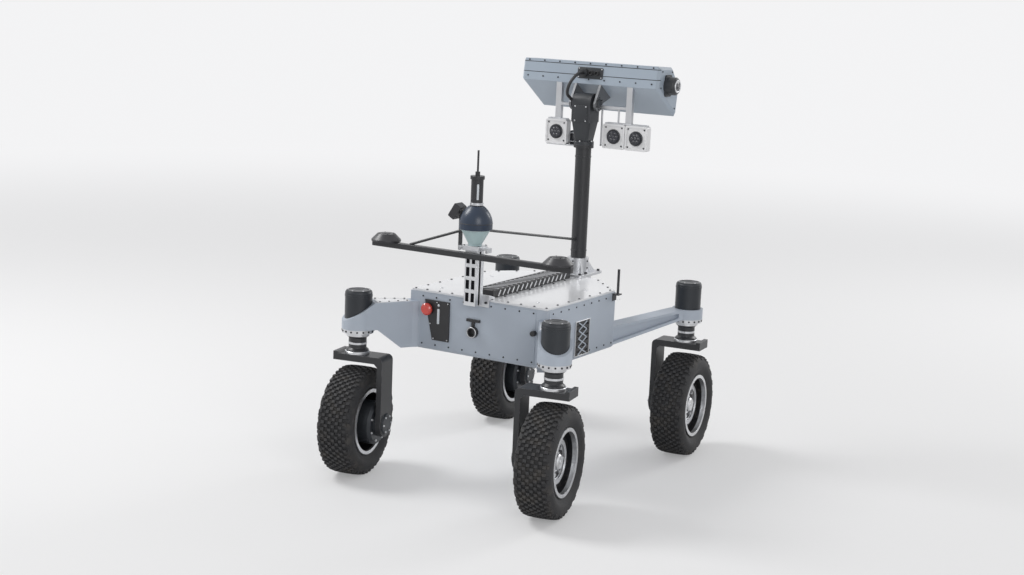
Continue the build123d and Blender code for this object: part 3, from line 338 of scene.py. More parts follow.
def block(width, depth, height, corner=0, edge=0):
    """A block that stands on z 0, with rounded upright corners and a softened top."""
    part = bmesh.new()
    made = bmesh.ops.create_grid(part, x_segments=1, y_segments=1, size=0.5)
    bmesh.ops.scale(part, vec=(width, depth, 1), verts=made["verts"])
    if corner:
        points = part.verts[:]
        bmesh.ops.bevel(
            part, geom=points, offset=corner, affect="VERTICES", segments=4, profile=0.5, material=-1
        )
    raised = bmesh.ops.extrude_face_region(part, geom=part.faces[:])
    top = [item for item in raised["geom"] if isinstance(item, bmesh.types.BMVert)]
    bmesh.ops.translate(part, vec=(0, 0, height), verts=top)
    rim = [item for item in part.edges if all(vert.co.z > height / 2 for vert in item.verts)]
    if edge:
        bmesh.ops.bevel(part, geom=rim, offset=edge, affect="EDGES", segments=2, profile=0.5, material=-1)
    return part


def cap_screw(width, height, sides=10):
    """A low socket head screw that stands on z 0, its width and height in millimetres."""
    width, height = width / 1000, height / 1000
    part = bmesh.new()
    up = moved(0, 0, height / 2)
    foot, crown = width / 2, 0.44 * width
    bmesh.ops.create_cone(
        part, cap_ends=True, segments=sides, radius1=foot, radius2=crown, depth=height, matrix=up
    )
    top = max(part.faces, key=lambda face: face.calc_center_median().z)
    bmesh.ops.inset_region(part, faces=[top], thickness=0.2 * width)
    bmesh.ops.inset_region(part, faces=[top], thickness=0.02 * width, depth=-0.6 * height)
    return part


def row(first, last, count, way):
    """Evenly spaced places from first to last, all facing one way."""
    first, last = Vector(first), Vector(last)
    return [facing(first.lerp(last, step / (count - 1)), way) for step in range(count)]


# The body's grey is partly its light paint and partly painted shade, darker and bluer than the deck.
body_grey_and_painted_shade = (0.43, 0.48, 0.55)
bare_metal = (0.62, 0.63, 0.65)
body_paint = painted("body_paint", body_grey_and_painted_shade, bare_metal, 0.42)
dress(body_paint, "chassis")

screw_black = Finish("screw_black", metallic=1)
screw_black.slot = "panel_black"
screw_black.lay(
    screw_black.mix(screw_black.grain(0.002), (0.035, 0.035, 0.04), (0.07, 0.07, 0.075)),
    screw_black.grain(0.001) * 0.2 + 0.3,
    screw_black.grain(0.0006),
    0.00002,
    0.0003,
)

low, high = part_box("chassis")
plate_thick, plate_corner, plate_edge = 0.0012, 0.006, 0.0004
plate_low, plate_high = low.z + 0.009, high.z - 0.004
plate_height = plate_high - plate_low
plate_mid = (plate_low + plate_high) / 2
shoulder_y = 0.115
nose_half = 0.115
rear_plate_width, nose_plate_width = 0.404, 2 * nose_half - 0.012
side_mid = (low.y + shoulder_y) / 2
side_plate_length = shoulder_y - low.y - 0.016
cover_plates = bmesh.new()
# Each plate: its length, x and y of the middle of its back, and the way that it faces
for length, x, y, way in (
    (rear_plate_width, 0, low.y, (0, -1, 0)),
    (side_plate_length, -high.x, side_mid, (-1, 0, 0)),
    (side_plate_length, high.x, side_mid, (1, 0, 0)),
    (nose_plate_width, 0, high.y, (0, 1, 0)),
):
    plate = block(length, plate_height, plate_thick, plate_corner, plate_edge)
    join(cover_plates, plate, [facing((x, y, plate_mid), way)])
piece("cover_plates", cover_plates, body_paint)

screw_margin = 0.008
rear_reach, nose_reach = 0.194, 0.1
side_start, side_end = low.y + 0.03, shoulder_y - 0.016
rear_face, nose_face = low.y - plate_thick, high.y + plate_thick
taper = Vector((nose_half - high.x, high.y - shoulder_y, 0))
taper_out = Vector((taper.y, -taper.x, 0)).normalized()
taper_shares = (0.12, 0.37, 0.63, 0.88)
places = []
for level in (plate_low + screw_margin, plate_high - screw_margin):
    places += row((-rear_reach, rear_face, level), (rear_reach, rear_face, level), 9, (0, -1, 0))
    for side in (-1, 1):
        flank = side * (high.x + plate_thick)
        places += row((flank, side_start, level), (flank, side_end, level), 9, (side, 0, 0))
        way = Vector((side * taper_out.x, taper_out.y, 0))
        for share in taper_shares:
            spot = Vector((side * (high.x + share * taper.x), shoulder_y + share * taper.y, level))
            places.append(facing(spot, way))
    places += row((-nose_reach, nose_face, level), (nose_reach, nose_face, level), 5, (0, 1, 0))
copies("cover_screws", cap_screw(5.5, 1.4), places, screw_black)


# Deck: two panels of glossy white sheet, one each side of the duct. They are screwed down along
# their edges and have two threaded payload holes each.
deck_white = (0.8, 0.81, 0.83)
deck_gloss = painted("deck_gloss", deck_white, (0.55, 0.56, 0.58), 0.24, 0.001, coat=0.6, wear=0.35)
dress(deck_gloss, "deck_panels")

low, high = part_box("deck_panels")
edge_in = 0.008
duct_edge = 0.043
deck_rear = low.y + edge_in
places = []
for side in (-1, 1):
    # Each row on one panel: x and y of its ends, and how many screws
    for first_x, first_y, last_x, last_y, count in (
        (high.x - edge_in, deck_rear, high.x - edge_in, 0.1, 7),
        (duct_edge, deck_rear, duct_edge, 0.215, 8),
        (0.098, deck_rear, 0.188, deck_rear, 3),
        (0.2, 0.138, 0.118, 0.225, 3),
    ):
        first = (side * first_x, first_y, high.z)
        last = (side * last_x, last_y, high.z)
        places += row(first, last, count, (0, 0, 1))
copies("deck_screws", cap_screw(7, 1.8), places, screw_black)


def metal(name, colour, roughness, stretch=(1, 1, 14), grain=0.02, width=0.0008, metallic=0.9):
    """Bare metal: fine tool marks along one way, a drift of tone and brighter edges."""
    finish = Finish(name, metallic=metallic)
    marks = finish.grain(grain, 4, stretch)
    drift = finish.grain(0.06, 3)
    tone = finish.mix(drift, shade(colour, 0.88), shade(colour, 1.05))
    tone = finish.mix(finish.edges(width) * 0.5, tone, shade(colour, 1.2))
    finish.lay(tone, marks * 0.16 + drift * 0.08 + (roughness - 0.12), marks, 0.00003, width)
    return finish


def turned(outline, steps=64):
    """Turned round Z from (radius, height) pairs in millimetres: a cap if they start on Z, or a ring."""
    ring = outline[0][0] > 0
    if not ring:
        outline = outline + [(0, outline[-1][1])]
    part = bmesh.new()
    verts = [part.verts.new((radius / 1000, 0, height / 1000)) for radius, height in outline]
    ends = verts[1:] + verts[:1] if ring else verts[1:]
    edges = [part.edges.new(pair) for pair in zip(verts, ends)]
    geom = verts + edges
    bmesh.ops.spin(
        part, geom=geom, axis=(0, 0, 1), cent=(0, 0, 0), angle=math.tau, steps=steps, use_merge=True
    )
    return part


bright_metal = metal("bright_metal", (0.68, 0.69, 0.71), 0.34)
bright_metal.slot = "machined_metal"
payload_x, payload_rows = 0.17, (-0.23, 0.05)
insert = [(2.9, -2), (2.9, 0.7), (3.4, 1.2), (6.2, 1.2), (6.8, 0.6), (6.8, -2)]
places = [moved(side * payload_x, along, high.z) for side in (-1, 1) for along in payload_rows]
copies("payload_inserts", turned(insert, 24), places, bright_metal)


# Duct: a channel of matt black plastic down the middle of the deck. Slanted slots in its top let
# the warm air out past bright fins, and bright slanted ribs stiffen its flanks.
def moulded(name, colour, roughness, width=0.0008, coat=0):
    """Moulded plastic: an even fine grain, a slow drift of tone and edges that have gone shiny."""
    finish = Finish(name, coat=coat)
    drift = finish.grain(0.05, 3)
    worn = finish.edges(width) * finish.grain(0.008, 4).step(0.35, 0.65)
    tone = finish.mix(drift, shade(colour, 0.85), shade(colour, 1.2))
    tone = finish.mix(worn * 0.6, tone, tuple(value + 0.05 for value in colour))
    dullness = drift * 0.1 + (roughness - 0.05) - worn * 0.1
    finish.lay(tone, dullness, finish.grain(0.0009, 1), 0.00004, width)
    return finish


def corners(across, along, height=0):
    """The corners of a rectangle round the Z axis, from half its width and half its length."""
    return [moved(x * across, y * along, height) for x in (-1, 1) for y in (-1, 1)]


def at(places, spots):
    """The same spots about each of some places."""
    return [place @ spot for place in places for spot in spots]


duct_black = moulded("duct_black", (0.022, 0.022, 0.024), 0.5)
dress(duct_black, "deck_duct")

low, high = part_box("deck_duct")
middle = (low.y + high.y) / 2
slot_pitch = 0.026
slot_count = 16
slots = [middle + (step - (slot_count - 1) / 2) * slot_pitch for step in range(slot_count)]
slot_turn = Matrix.Rotation(math.radians(28), 4, "Z")
slot_floor = high.z - 0.015
fin_length, fin_width, fin_height = 0.051, 0.004, 0.0158
rib_length, rib_width, rib_rise = 0.0215, 0.0048, 0.0012
rib_lean = math.radians(38)
deck_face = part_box("deck_panels")[1].z
fins = bmesh.new()
fin = block(fin_length, fin_width, fin_height, edge=0.0006)
join(fins, fin, [moved(0, slot, slot_floor) @ slot_turn for slot in slots])
for side in (-1, 1):
    rib_face = facing((side * high.x, 0, (deck_face + high.z) / 2), (side, 0, 0))
    turn = Matrix.Rotation(-side * rib_lean, 4, "Z")
    rib = block(rib_width, rib_length, rib_rise, 0.0012, 0.0004)
    join(fins, rib, [rib_face @ moved(side * slot, 0, 0) @ turn for slot in slots])
piece("duct_fins", fins, bright_metal)
screw_x, end_in = 0.028, 0.006
places = at([moved(0, middle, high.z)], corners(screw_x, high.y - middle - end_in))
copies("duct_screws", cap_screw(5, 1.4), places, screw_black)


# Side grilles: louvred black panels over the coolers, one on each flank, in thin bright frames. A
# lattice of flat bars in the body's paint guards the louvres.
panel_black = moulded("panel_black", (0.024, 0.024, 0.026), 0.4)
dress(panel_black, "side_grilles")
low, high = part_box("side_grilles")
flank_x = 0.24
grille_mid = (low.y + high.y) / 2
level_mid = (low.z + high.z) / 2
grille_length = high.y - low.y
grille_height = high.z - low.z
frame_bar, frame_rise, frame_edge = 0.0025, 0.0062, 0.0005
frame_gap = 0.0003
back_inset, back_rise = 0.006, plate_thick + 0.0006
lattice_rows = 4
lattice_half = 0.024
lattice_margin = 0.004
lattice_row = (grille_height - 2 * lattice_margin) / lattice_rows
bar_lean = math.atan2(lattice_row, 2 * lattice_half)
bar_length = math.hypot(lattice_row, 2 * lattice_half)
bar_width, bar_edge = 0.0036, 0.0003
rail_length = grille_length - frame_bar - frame_gap
frames, guards, backs = bmesh.new(), bmesh.new(), bmesh.new()
for side in (-1, 1):
    panel = facing((side * flank_x, grille_mid, level_mid), (side, 0, 0))
    for way in (-1, 1):
        upright = block(frame_bar, grille_height + frame_bar, frame_rise, edge=frame_edge)
        join(frames, upright, [panel @ moved(way * grille_length / 2, 0, 0)])
        rail = block(rail_length, frame_bar, frame_rise, edge=frame_edge)
        join(frames, rail, [panel @ moved(0, way * grille_height / 2, 0)])
    back = block(grille_length - back_inset, grille_height - back_inset, back_rise)
    join(backs, back, [panel])
    for count in range(lattice_rows):
        level = low.z + lattice_margin + (count + 0.5) * lattice_row
        crossing = facing((side * high.x, grille_mid, level), (side, 0, 0))
        # Bars that lean one way pass under those that lean the other
        for way, thick in ((-1, 0.0012), (1, 0.0016)):
            lean = Matrix.Rotation(way * bar_lean, 4, "Z")
            join(guards, block(bar_length, bar_width, thick, edge=bar_edge), [crossing @ lean])
piece("grille_frames", frames, bright_metal)
piece("grille_guards", guards, body_paint)
piece("grille_backs", backs, panel_black)


# Arms: four cast aluminium arms in the body's paint, bolted to the chassis corners. Each ends in a
# boss that holds a steering motor, and a white lid is screwed over the flat top of each rear arm.
def joints_called(start):
    """The joints whose names start with one word, by the corner that follows it."""
    found = [joint for joint in frame["joints"] if joint["name"].startswith(start)]
    return {joint["name"][len(start):]: joint for joint in found}


pivots = {corner: Vector(joint["pos_m"]) for corner, joint in joints_called("steer_").items()}
dress(body_paint, *("arm_" + corner for corner in pivots))
chassis_low, chassis_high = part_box("chassis")
lid_start, lid_end = 0.008, 0.112
lid_start_half, lid_end_half = 0.0215, 0.0375
lid_length = lid_end - lid_start
lid_height = 0.0016
lid_screw_in = 0.008
start_inset, end_inset = 0.006, 0.008
arm_lids, arm_screws = bmesh.new(), bmesh.new()
for corner in ("rear_left", "rear_right"):
    pivot = pivots[corner]
    side = math.copysign(1, pivot.x)
    root = Vector((side * chassis_high.x, chassis_low.y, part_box("arm_" + corner)[1].z))
    along = Vector((pivot.x - root.x, pivot.y - root.y, 0)).normalized()
    across = along.cross(Vector((0, 0, 1)))
    flat = Matrix((along, across, (0, 0, 1))).transposed().to_4x4()
    flat.translation = root
    lid = block(lid_length, 2 * lid_end_half, lid_height, 0.005, 0.0005)
    for vert in lid.verts:
        share = 0.5 - vert.co.x / lid_length
        vert.co.y *= 1 + share * (lid_start_half / lid_end_half - 1)
    join(arm_lids, lid, [flat @ moved((lid_start + lid_end) / 2, 0, 0)])
    places = []
    for edge in (-1, 1):
        first = (lid_start + lid_screw_in, edge * (lid_start_half - start_inset), lid_height)
        last = (lid_end - lid_screw_in, edge * (lid_end_half - end_inset), lid_height)
        places += row(first, last, 4, (0, 0, 1))
    join(arm_screws, cap_screw(6, 1.6), at([flat], places))
piece("arm_lids", arm_lids, deck_gloss)
piece("arm_screws", arm_screws, screw_black)


# Clamp rings: split rings of turned aluminium round the foot of each steering motor, drawn tight by
# a row of small screws.
def spokes(middle, radius, count, start):
    """Places round an upright axis that face away from it, the first at an angle in degrees."""
    places = []
    for step in range(count):
        turn = math.radians(start + 360 * step / count)
        way = Vector((math.cos(turn), math.sin(turn), 0))
        places.append(facing(Vector(middle) + way * radius, way))
    return places


dress(bright_metal, "clamp_rings")
low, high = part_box("clamp_rings")
ring_mid = (low.z + high.z) / 2
ring_radius, ring_sunk = 0.0475, 0.0002
ring_count = 16
places = []
for pivot in pivots.values():
    spot = (pivot.x, pivot.y, ring_mid)
    places += spokes(spot, ring_radius - ring_sunk, ring_count, 180 / ring_count)
copies("ring_screws", cap_screw(6.2, 1.8), places, screw_black)


# Steering motors: upright cans of black anodised aluminium, one on each arm. A lid closes each can
# and a black band marks its joint with the boss.
def around(count, radius, height=0, start=0):
    """Places on a circle round the Z axis, the first at an angle in degrees."""
    turns = [math.radians(start + 360 * step / count) for step in range(count)]
    return [moved(radius * math.cos(turn), radius * math.sin(turn), height) for turn in turns]


anodised = (0.03, 0.034, 0.04)
motor_black = metal("motor_black", anodised, 0.36, (1, 1, 0.05), 0.004, 0.0012, metallic=0.25)
dress(motor_black, *("steering_motor_" + corner for corner in pivots))
motor_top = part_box("steering_motor_rear_left")[1].z
motor_lid = [(0, 0.6), (12, 0.6), (12.5, 1.4), (29, 1.4), (29.5, 2.4), (36, 2.4), (36.8, 1.6), (36.8, -1)]
motor_band = [(40.5, -3.5), (41.8, -3), (41.8, 3), (40.5, 3.5)]
band_drop = moved(0, 0, -0.014)
tops = [moved(pivot.x, pivot.y, motor_top) for pivot in pivots.values()]
copies("motor_lids", turned(motor_lid), tops, motor_black)
places = at(tops, [band_drop])
copies("motor_bands", turned(motor_band), places, motor_black)
places = at(tops, around(6, 0.0328, 0.0024, 30))
copies("lid_screws", cap_screw(4.5, 1.2), places, bright_metal)


# Forks: the knuckle under each steering motor, a crown plate over the tyre and one leg on the
# inboard side, painted satin black. Its neck wears two bright collars and a band at its waist.
fork_black = painted("fork_black", (0.028, 0.029, 0.032), (0.4, 0.41, 0.43), 0.38, 0.0014, wear=0.75)
dress(fork_black, *("fork_" + corner for corner in pivots))
crown_top, neck_waist, neck_top = 0.373, 0.405, 0.437
upper_collar = [(33, -10), (35.2, -9.2), (35.2, -2.2), (33.5, -1.2)]
lower_collar = [(33, 0), (37.2, 0.4), (37.2, 7.2), (36, 8.4), (32.5, 8.4)]
waist_band = [(26, -3.6), (28.1, -3), (28.1, 3), (26, 3.6)]
neck_bands = ((upper_collar, neck_top), (lower_collar, crown_top), (waist_band, neck_waist))
for corner, pivot in pivots.items():
    body = "steer_" + corner
    collars = bmesh.new()
    for outline, level in neck_bands:
        join(collars, turned(outline), [moved(pivot.x, pivot.y, level)])
    piece("neck_collars_" + corner, collars, bright_metal, body)
    crown = moved(pivot.x, pivot.y, crown_top)
    places = at([crown], around(8, 0.0335, 0.0084, 22.5))
    copies("neck_bolts_" + corner, cap_screw(4.2, 1.4), places, screw_black, body)


# Drive motors: a black anodised can inside each rim. Its gearbox flange is screwed to the foot of
# the leg, and a ring of screws closes the can's back.
dress(motor_black, *("drive_motor_" + corner for corner in pivots))
axles = joints_called("roll_")


def outboard(corner):
    """The way out along a wheel's axle."""
    way = Vector(axles[corner]["axis"]).normalized()
    return way if axles[corner]["pos_m"][0] > 0 else -way


def hub(corner):
    """The middle of a wheel, with its Z axis along the axle and outboard."""
    return facing(axles[corner]["pos_m"], outboard(corner))


tail_end, can_back = -0.106, -0.078
inward = Matrix.Rotation(math.pi, 4, "X")
for corner in axles:
    bolts = bmesh.new()
    # Each ring of screws: how wide they are and where they stand about the axle
    for width, spots in (
        (6.5, around(6, 0.025, tail_end)),
        (7.5, around(8, 0.053, can_back, 22.5)),
    ):
        join(bolts, cap_screw(width, 3), [hub(corner) @ spot @ inward for spot in spots])
    piece("drive_bolts_" + corner, bolts, bright_metal, "steer_" + corner)


# Rims: spun aluminium, with a bright flange and rings, and the well and groove between them painted
# dark as shade. Wheel bolts stand round a polished hub cap, and a short valve stem in the well.
def about_axle(finish, corner):
    """The vector from a wheel's middle to a point, and that point's distance from the axle."""
    arm = finish.vector("SUBTRACT", 0, finish.place, Vector(axles[corner]["pos_m"]))
    across = finish.vector("CROSS_PRODUCT", 0, arm, outboard(corner))
    return arm, finish.vector("LENGTH", "Value", across)


groove_inner, groove_outer = 0.0285, 0.05
well_inner, well_outer = 0.0665, 0.0948
well_back, well_mouth = -0.043, 0.036
fade_in = 0.0015
disc_face = 0.02
cap_face = 0.032
bolt_circle, stem_circle = 0.0395, 0.0765
turning_pitch = 4500
bright_tones = ((0.6, 0.61, 0.63), (0.74, 0.75, 0.77))
painted_well_shade_grey = (0.035, 0.036, 0.04)
dust_brown = (0.22, 0.19, 0.16)
stem = [(0, 18), (2.6, 18), (3, 17), (3, 10), (4.2, 10), (4.6, 0)]
for corner in axles:
    rim_metal = Finish("rim_metal_" + corner, metallic=0.9)
    arm, radius = about_axle(rim_metal, corner)
    reach = rim_metal.vector("DOT_PRODUCT", "Value", arm, outboard(corner))
    # The well and the groove are painted dark grey as the shade that falls in these recesses.
    well = radius.within(well_inner, well_outer, fade_in, 0.0008)
    well = well * reach.within(well_back, well_mouth, 0.002, fade_in)
    groove = radius.within(groove_inner, groove_outer, fade_in, fade_in)
    well_and_groove_shade = well + groove
    dust = rim_metal.grain(0.014, 5).step(0.48, 0.75) * 0.35
    tone = rim_metal.mix(rim_metal.grain(0.03), *bright_tones)
    tone = rim_metal.mix(well_and_groove_shade, tone, painted_well_shade_grey)
    tone = rim_metal.mix(dust, tone, dust_brown)
    roughness = rim_metal.grain(0.01) * 0.12 + well_and_groove_shade * 0.2 + dust * 0.4 + 0.24
    rim_metal.lay(tone, roughness, (radius * turning_pitch).wave(), 0.00001, 0.001)
    dress(rim_metal, "rim_" + corner)
    bolts = bmesh.new()
    middle = hub(corner)
    join(bolts, cap_screw(10, 6, 12), at([middle], around(6, bolt_circle, disc_face)))
    join(bolts, cap_screw(8, 1.5, 12), [middle @ moved(0, 0, cap_face)])
    join(bolts, turned(stem, 16), [middle @ moved(0, stem_circle, disc_face)])
    piece("wheel_bolts_" + corner, bolts, bright_metal, "wheel_" + corner, slot="rim_metal")


# Tyres: solid black rubber with rows of small square knobs, worn and a little dusty. Each is moulded
# in one piece and stretched over its rim.
tread_rows = [-46, -34.5, -23, -11.5, 0, 11.5, 23, 34.5, 46]
tread_radii = [155.2, 157.8, 158.5, 158.9, 159, 158.9, 158.5, 157.8, 155.2]
wall = [(95, 40), (110, 48.6), (121, 55), (129, 57.3), (139, 55.7), (148, 51.7)]
tyre_outline = [(radius, -across) for radius, across in wall]
tyre_outline += list(zip(tread_radii, tread_rows))
tyre_outline += [(radius, across) for radius, across in reversed(wall)]
tread_columns = 96
tread_start, shoulder_start = 150, 148.5
knob_height, lug_height = 0.0059, 0.0022


def knobbed_tyre():
    """A tyre round Z: faces of the tread, taken in a chequer pattern, stand up as knobs."""
    part = turned(tyre_outline, tread_columns)
    close(part)
    knobs, lugs = [], []
    for face in part.faces:
        spot = face.calc_center_median() * 1000
        reach = math.hypot(spot.x, spot.y)
        column = int(tread_columns * (math.atan2(spot.y, spot.x) / math.tau + 1))
        lane = sum(spot.z > edge for edge in tread_rows)
        if 0 < lane < len(tread_rows) and reach > tread_start and (lane + column) % 2:
            knobs.append(face)
        if lane in (0, len(tread_rows)) and reach > shoulder_start and (column // 2 + lane) % 2:
            lugs.append(face)
    for faces, inset, rise in ((knobs, 0.001, knob_height), (lugs, 0.0008, lug_height)):
        bmesh.ops.inset_individual(part, faces=faces, thickness=inset, depth=rise, use_even_offset=True)
    return part


rubber_tones = ((0.022, 0.022, 0.024), (0.05, 0.05, 0.052))
dust_grey = (0.1, 0.088, 0.075)
rib_pitch = 1500
for corner in axles:
    rubber = Finish("rubber_" + corner)
    rubber.slot = "tyre"
    radius = about_axle(rubber, corner)[1]
    worn = radius.step(0.16, 0.165)
    dust = rubber.grain(0.035, 5).step(0.45, 0.75) * (radius.step(0.125, 0.155) * 0.3 + 0.12)
    tone = rubber.mix(worn * 0.5, *rubber_tones)
    tone = rubber.mix(dust, tone, dust_grey)
    ribs = (radius * rib_pitch).wave() * radius.step(0.147, 0.143)
    roughness = rubber.grain(0.004) * 0.15 + dust * 0.1 + 0.62
    rubber.lay(tone, roughness, ribs * 0.5 + rubber.grain(0.0012), 0.00025, 0.0008)
    body = "wheel_" + corner
    node = "tyre_" + corner
    copies("knobbed_tyre_" + corner, knobbed_tyre(), [hub(corner)], rubber, body, node)


# Mast mount: a block of machined aluminium on the nose, with a collar and gussets for the mast. It
# is bolted through the deck, and grub screws hold the mast in its collar.
bracket_grey = metal("bracket_grey", (0.6, 0.61, 0.63), 0.38, (1, 1, 0.08), 0.006)
dress(bracket_grey, "mast_mount")
mast_y = 0.3
mount_top = 0.576
mount_bolt_x, mount_bolt_rows = 0.051, (0.223, 0.262, 0.345)
collar_radius = 0.034
grub_levels = (0.588, 0.61)
grub_sunk = 0.0003
places = [moved(side * mount_bolt_x, along, mount_top) for side in (-1, 1) for along in mount_bolt_rows]
mount_bolts = bmesh.new()
join(mount_bolts, cap_screw(10, 5, 12), places)
for level in grub_levels:
    places = spokes((0, mast_y, level), collar_radius - grub_sunk, 4, 0)
    join(mount_bolts, cap_screw(6, 1.6), places)
piece("mount_bolts", mount_bolts, screw_black)


# Mast: a black anodised tube clamped in that mount. A turned black band stands round it above the
# collar and another under the flange.
mast_black = painted("mast_black", (0.026, 0.027, 0.03), (0.3, 0.31, 0.33), 0.34, 0.001)
dress(mast_black, "mast")
mast_band = [(24.8, 0), (26.2, 0.6), (26.2, 5.4), (24.8, 6)]
places = [moved(0, mast_y, level) for level in (0.64, 0.944)]
copies("mast_bands", turned(mast_band), places, mast_black)


# Pan unit: the motor block that turns the head, in satin black. Its flange is bolted to the mast
# and a cover is screwed on its rear.
head_black = painted("head_black", (0.03, 0.033, 0.038), (0.34, 0.35, 0.37), 0.4, 0.0012)
dress(head_black, "pan_unit")
pan_rear = 0.269
flange_face = 0.9953
cover_low, cover_high = 1.058, 1.112
cover_half = (cover_high - cover_low) / 2
cover_thick = 0.0014
cover_screw_x, cover_screw_in = 0.0195, 0.0045
cover_place = facing((0, pan_rear, cover_low + cover_half), (0, -1, 0))
pan_cover = block(0.048, 2 * cover_half, cover_thick, 0.004, 0.0004)
copies("pan_cover", pan_cover, [cover_place], head_black, "pan")
pan_screws = bmesh.new()
places = at([cover_place], corners(cover_screw_x, cover_half - cover_screw_in, cover_thick))
join(pan_screws, cap_screw(4.8, 1.4), places)
places = at([moved(0, mast_y, flange_face)], around(4, 0.0275))
join(pan_screws, cap_screw(5.5, 3.5), places)
piece("pan_screws", pan_screws, bright_metal, "pan")


# Tilt yoke: two cheeks of dark grey aluminium under the head. A turned cap covers each end of the
# shaft that they swing on, inside a ring of screws.
yoke_grey = metal("yoke_grey", (0.2, 0.205, 0.215), 0.46, (1, 1, 0.08), 0.006, metallic=0.6)
dress(yoke_grey, "tilt_yoke")
tilt_z = 1.1183
cheek_outer = 0.048
pivot_cap = [(0, 4.2), (9, 4.2), (10, 3), (13.5, 3), (15, 1.6), (15, -1)]
places = [facing((side * cheek_outer, mast_y, tilt_z), (side, 0, 0)) for side in (-1, 1)]
copies("pivot_caps", turned(pivot_cap, 48), places, head_black, "head")
places = at(places, around(6, 0.0195, start=30))
copies("pivot_screws", cap_screw(4.5, 1.6), places, screw_black, "head")


# Head: a long folded aluminium housing, painted a light blue grey. Lids close it above and behind,
# on dark gaskets, and small screws hold the lids and the end plates. A black plate on its rear
# carries the cable gland and two sockets.
def head_face(first, last):
    """The way out of a long face of the head that runs between two corners of its section."""
    run = last - first
    out = Vector((0, run.z, -run.y)).normalized()
    return out if out.dot(first - head_middle) > 0 else -out


# Corners of the head's section, as y and z, from the ridge behind over the roof to the front
section = [(0.309, 1.1773), (0.319, 1.2463), (0.411, 1.2423), (0.461, 1.1803), (0.447, 1.0863)]
head_corners = [Vector((0, *corner)) for corner in section]
ridge, rear_top, front_top, brow, belly_front = head_corners
head_middle = sum(head_corners, Vector()) / len(head_corners)
rear_out = head_face(ridge, rear_top)
roof_out = head_face(rear_top, front_top)
face_out = head_face(brow, belly_front)
gland = ridge.lerp(rear_top, 0.493)
gland_x = -0.016
gland_radius = 0.0125
gasket_rise, gasket_drop = 0.118, 0.01
gasket_half, gasket_fade = 0.0013, 0.0004

head_paint = Finish("head_paint")
height = head_paint.along("Z")
behind = head_paint.along("Y").step(0.33, 0.326)
low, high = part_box("head_housing")
gasket = 0
for level in (low.z + gasket_rise, high.z - gasket_drop):
    gasket = gasket + height.within(level - gasket_half, level + gasket_half, gasket_fade, gasket_fade)
gasket = gasket * behind
drift = head_paint.grain(0.12, 4)
rub = head_paint.edges(0.0014) * head_paint.grain(0.007, 5).step(0.42, 0.66) * 0.5
tone = head_paint.mix(drift, (0.33, 0.39, 0.46), (0.4, 0.46, 0.53))
tone = head_paint.mix(rub, tone, (0.62, 0.64, 0.66))
tone = head_paint.mix(gasket, tone, (0.03, 0.035, 0.04))
arm = head_paint.vector("SUBTRACT", 0, head_paint.place, Vector((gland_x, gland.y, gland.z)))
arm = head_paint.vector("MULTIPLY", 0, arm, Vector((1, 0, 1)))
radius = head_paint.vector("LENGTH", "Value", arm)
fitting = radius.step(gland_radius, gland_radius - 0.0002) * behind
tone = head_paint.mix(fitting, tone, (0.03, 0.033, 0.038))
relief = head_paint.grain(0.0011, 1) * 0.02 - gasket
head_paint.lay(tone, drift * 0.08 + gasket * 0.2 + 0.34, relief, 0.0006, 0.0014)
dress(head_paint, "head_housing")

end_face = 0.248
inward_share = 0.26
places = []
# Each lid: its two edges, the way out, where its rows lie across it, half a row, screws and depth
for first, last, out, shares, half, count, deep in (
    (ridge, rear_top, rear_out, (0.2, 0.93), 0.225, 9, 0),
    (rear_top, front_top, roof_out, (0.1, 0.9), 0.228, 7, 0.0015),
):
    for share in shares:
        spot = first.lerp(last, share) - out * deep
        reach = Vector((half, 0, 0))
        places += row(spot - reach, spot + reach, count, out)
for side in (-1, 1):
    for corner in head_corners:
        spot = corner.lerp(head_middle, inward_share)
        places.append(facing((side * end_face, spot.y, spot.z), (side, 0, 0)))
copies("head_screws", cap_screw(5.5, 1.5), places, screw_black, "head")

gland_place = facing(gland, rear_out)
seat_shift, seat_thick = 0.004, 0.002
seat = gland_place @ moved(seat_shift, 0, 0)
connector_plate = block(0.092, 0.036, seat_thick, 0.005, 0.0005)
copies("connector_plate", connector_plate, [seat], head_black, "head")
socket = [(0, 4), (4.8, 4), (5.2, 10), (6.6, 10), (7.2, 9), (7.2, 4), (8.4, 3.5), (8.8, 0)]
gland_nut = [(10, 4), (14.2, 4), (15, 5), (15, 10), (14.2, 11), (10, 11)]
connectors = bmesh.new()
places = [gland_place @ moved(along, 0, seat_thick) for along in (0.01, 0.031)]
join(connectors, turned(socket, 32), places)
join(connectors, turned(gland_nut, 6), [gland_place @ moved(gland_x, 0, 0)])
piece("head_connectors", connectors, panel_black, "head")
places = at([seat], corners(0.041, 0.0135, seat_thick))
copies("connector_screws", cap_screw(4.5, 1.4), places, bright_metal, "head")


# Lenses: four round windows of dark coated glass in the head's face, each with a domed front in a
# black rim. A turned black bezel with four small screws holds each one.
glass = Finish("dark_glass", coat=1)
glass.slot = "lens_glass"
glass.inputs["Specular IOR Level"].default_value = 0.6
glass.lay(
    glass.mix(glass.grain(0.01), (0.01, 0.012, 0.02), (0.02, 0.022, 0.034)),
    glass.grain(0.02) * 0.04 + 0.06,
    glass.grain(0.02),
    0.00001,
    0.0008,
)
dress(glass, "head_lenses", "lamp_eyes")
face_mid = brow.lerp(belly_front, 0.5)
bezel = [(22.2, -1), (22.2, 5), (23, 6), (26.2, 6), (28.5, 3), (29, -1)]
lens_rim = [(22.2, 5), (22.2, 9), (21.4, 10), (17.8, 10), (16.4, 8.8), (16.4, 8)]
lens_dome = [(0, 11.2), (5, 10.9), (9.5, 10.2), (13.5, 9), (16.6, 7.2)]
lens_x = (-0.17, -0.06, 0.06, 0.17)
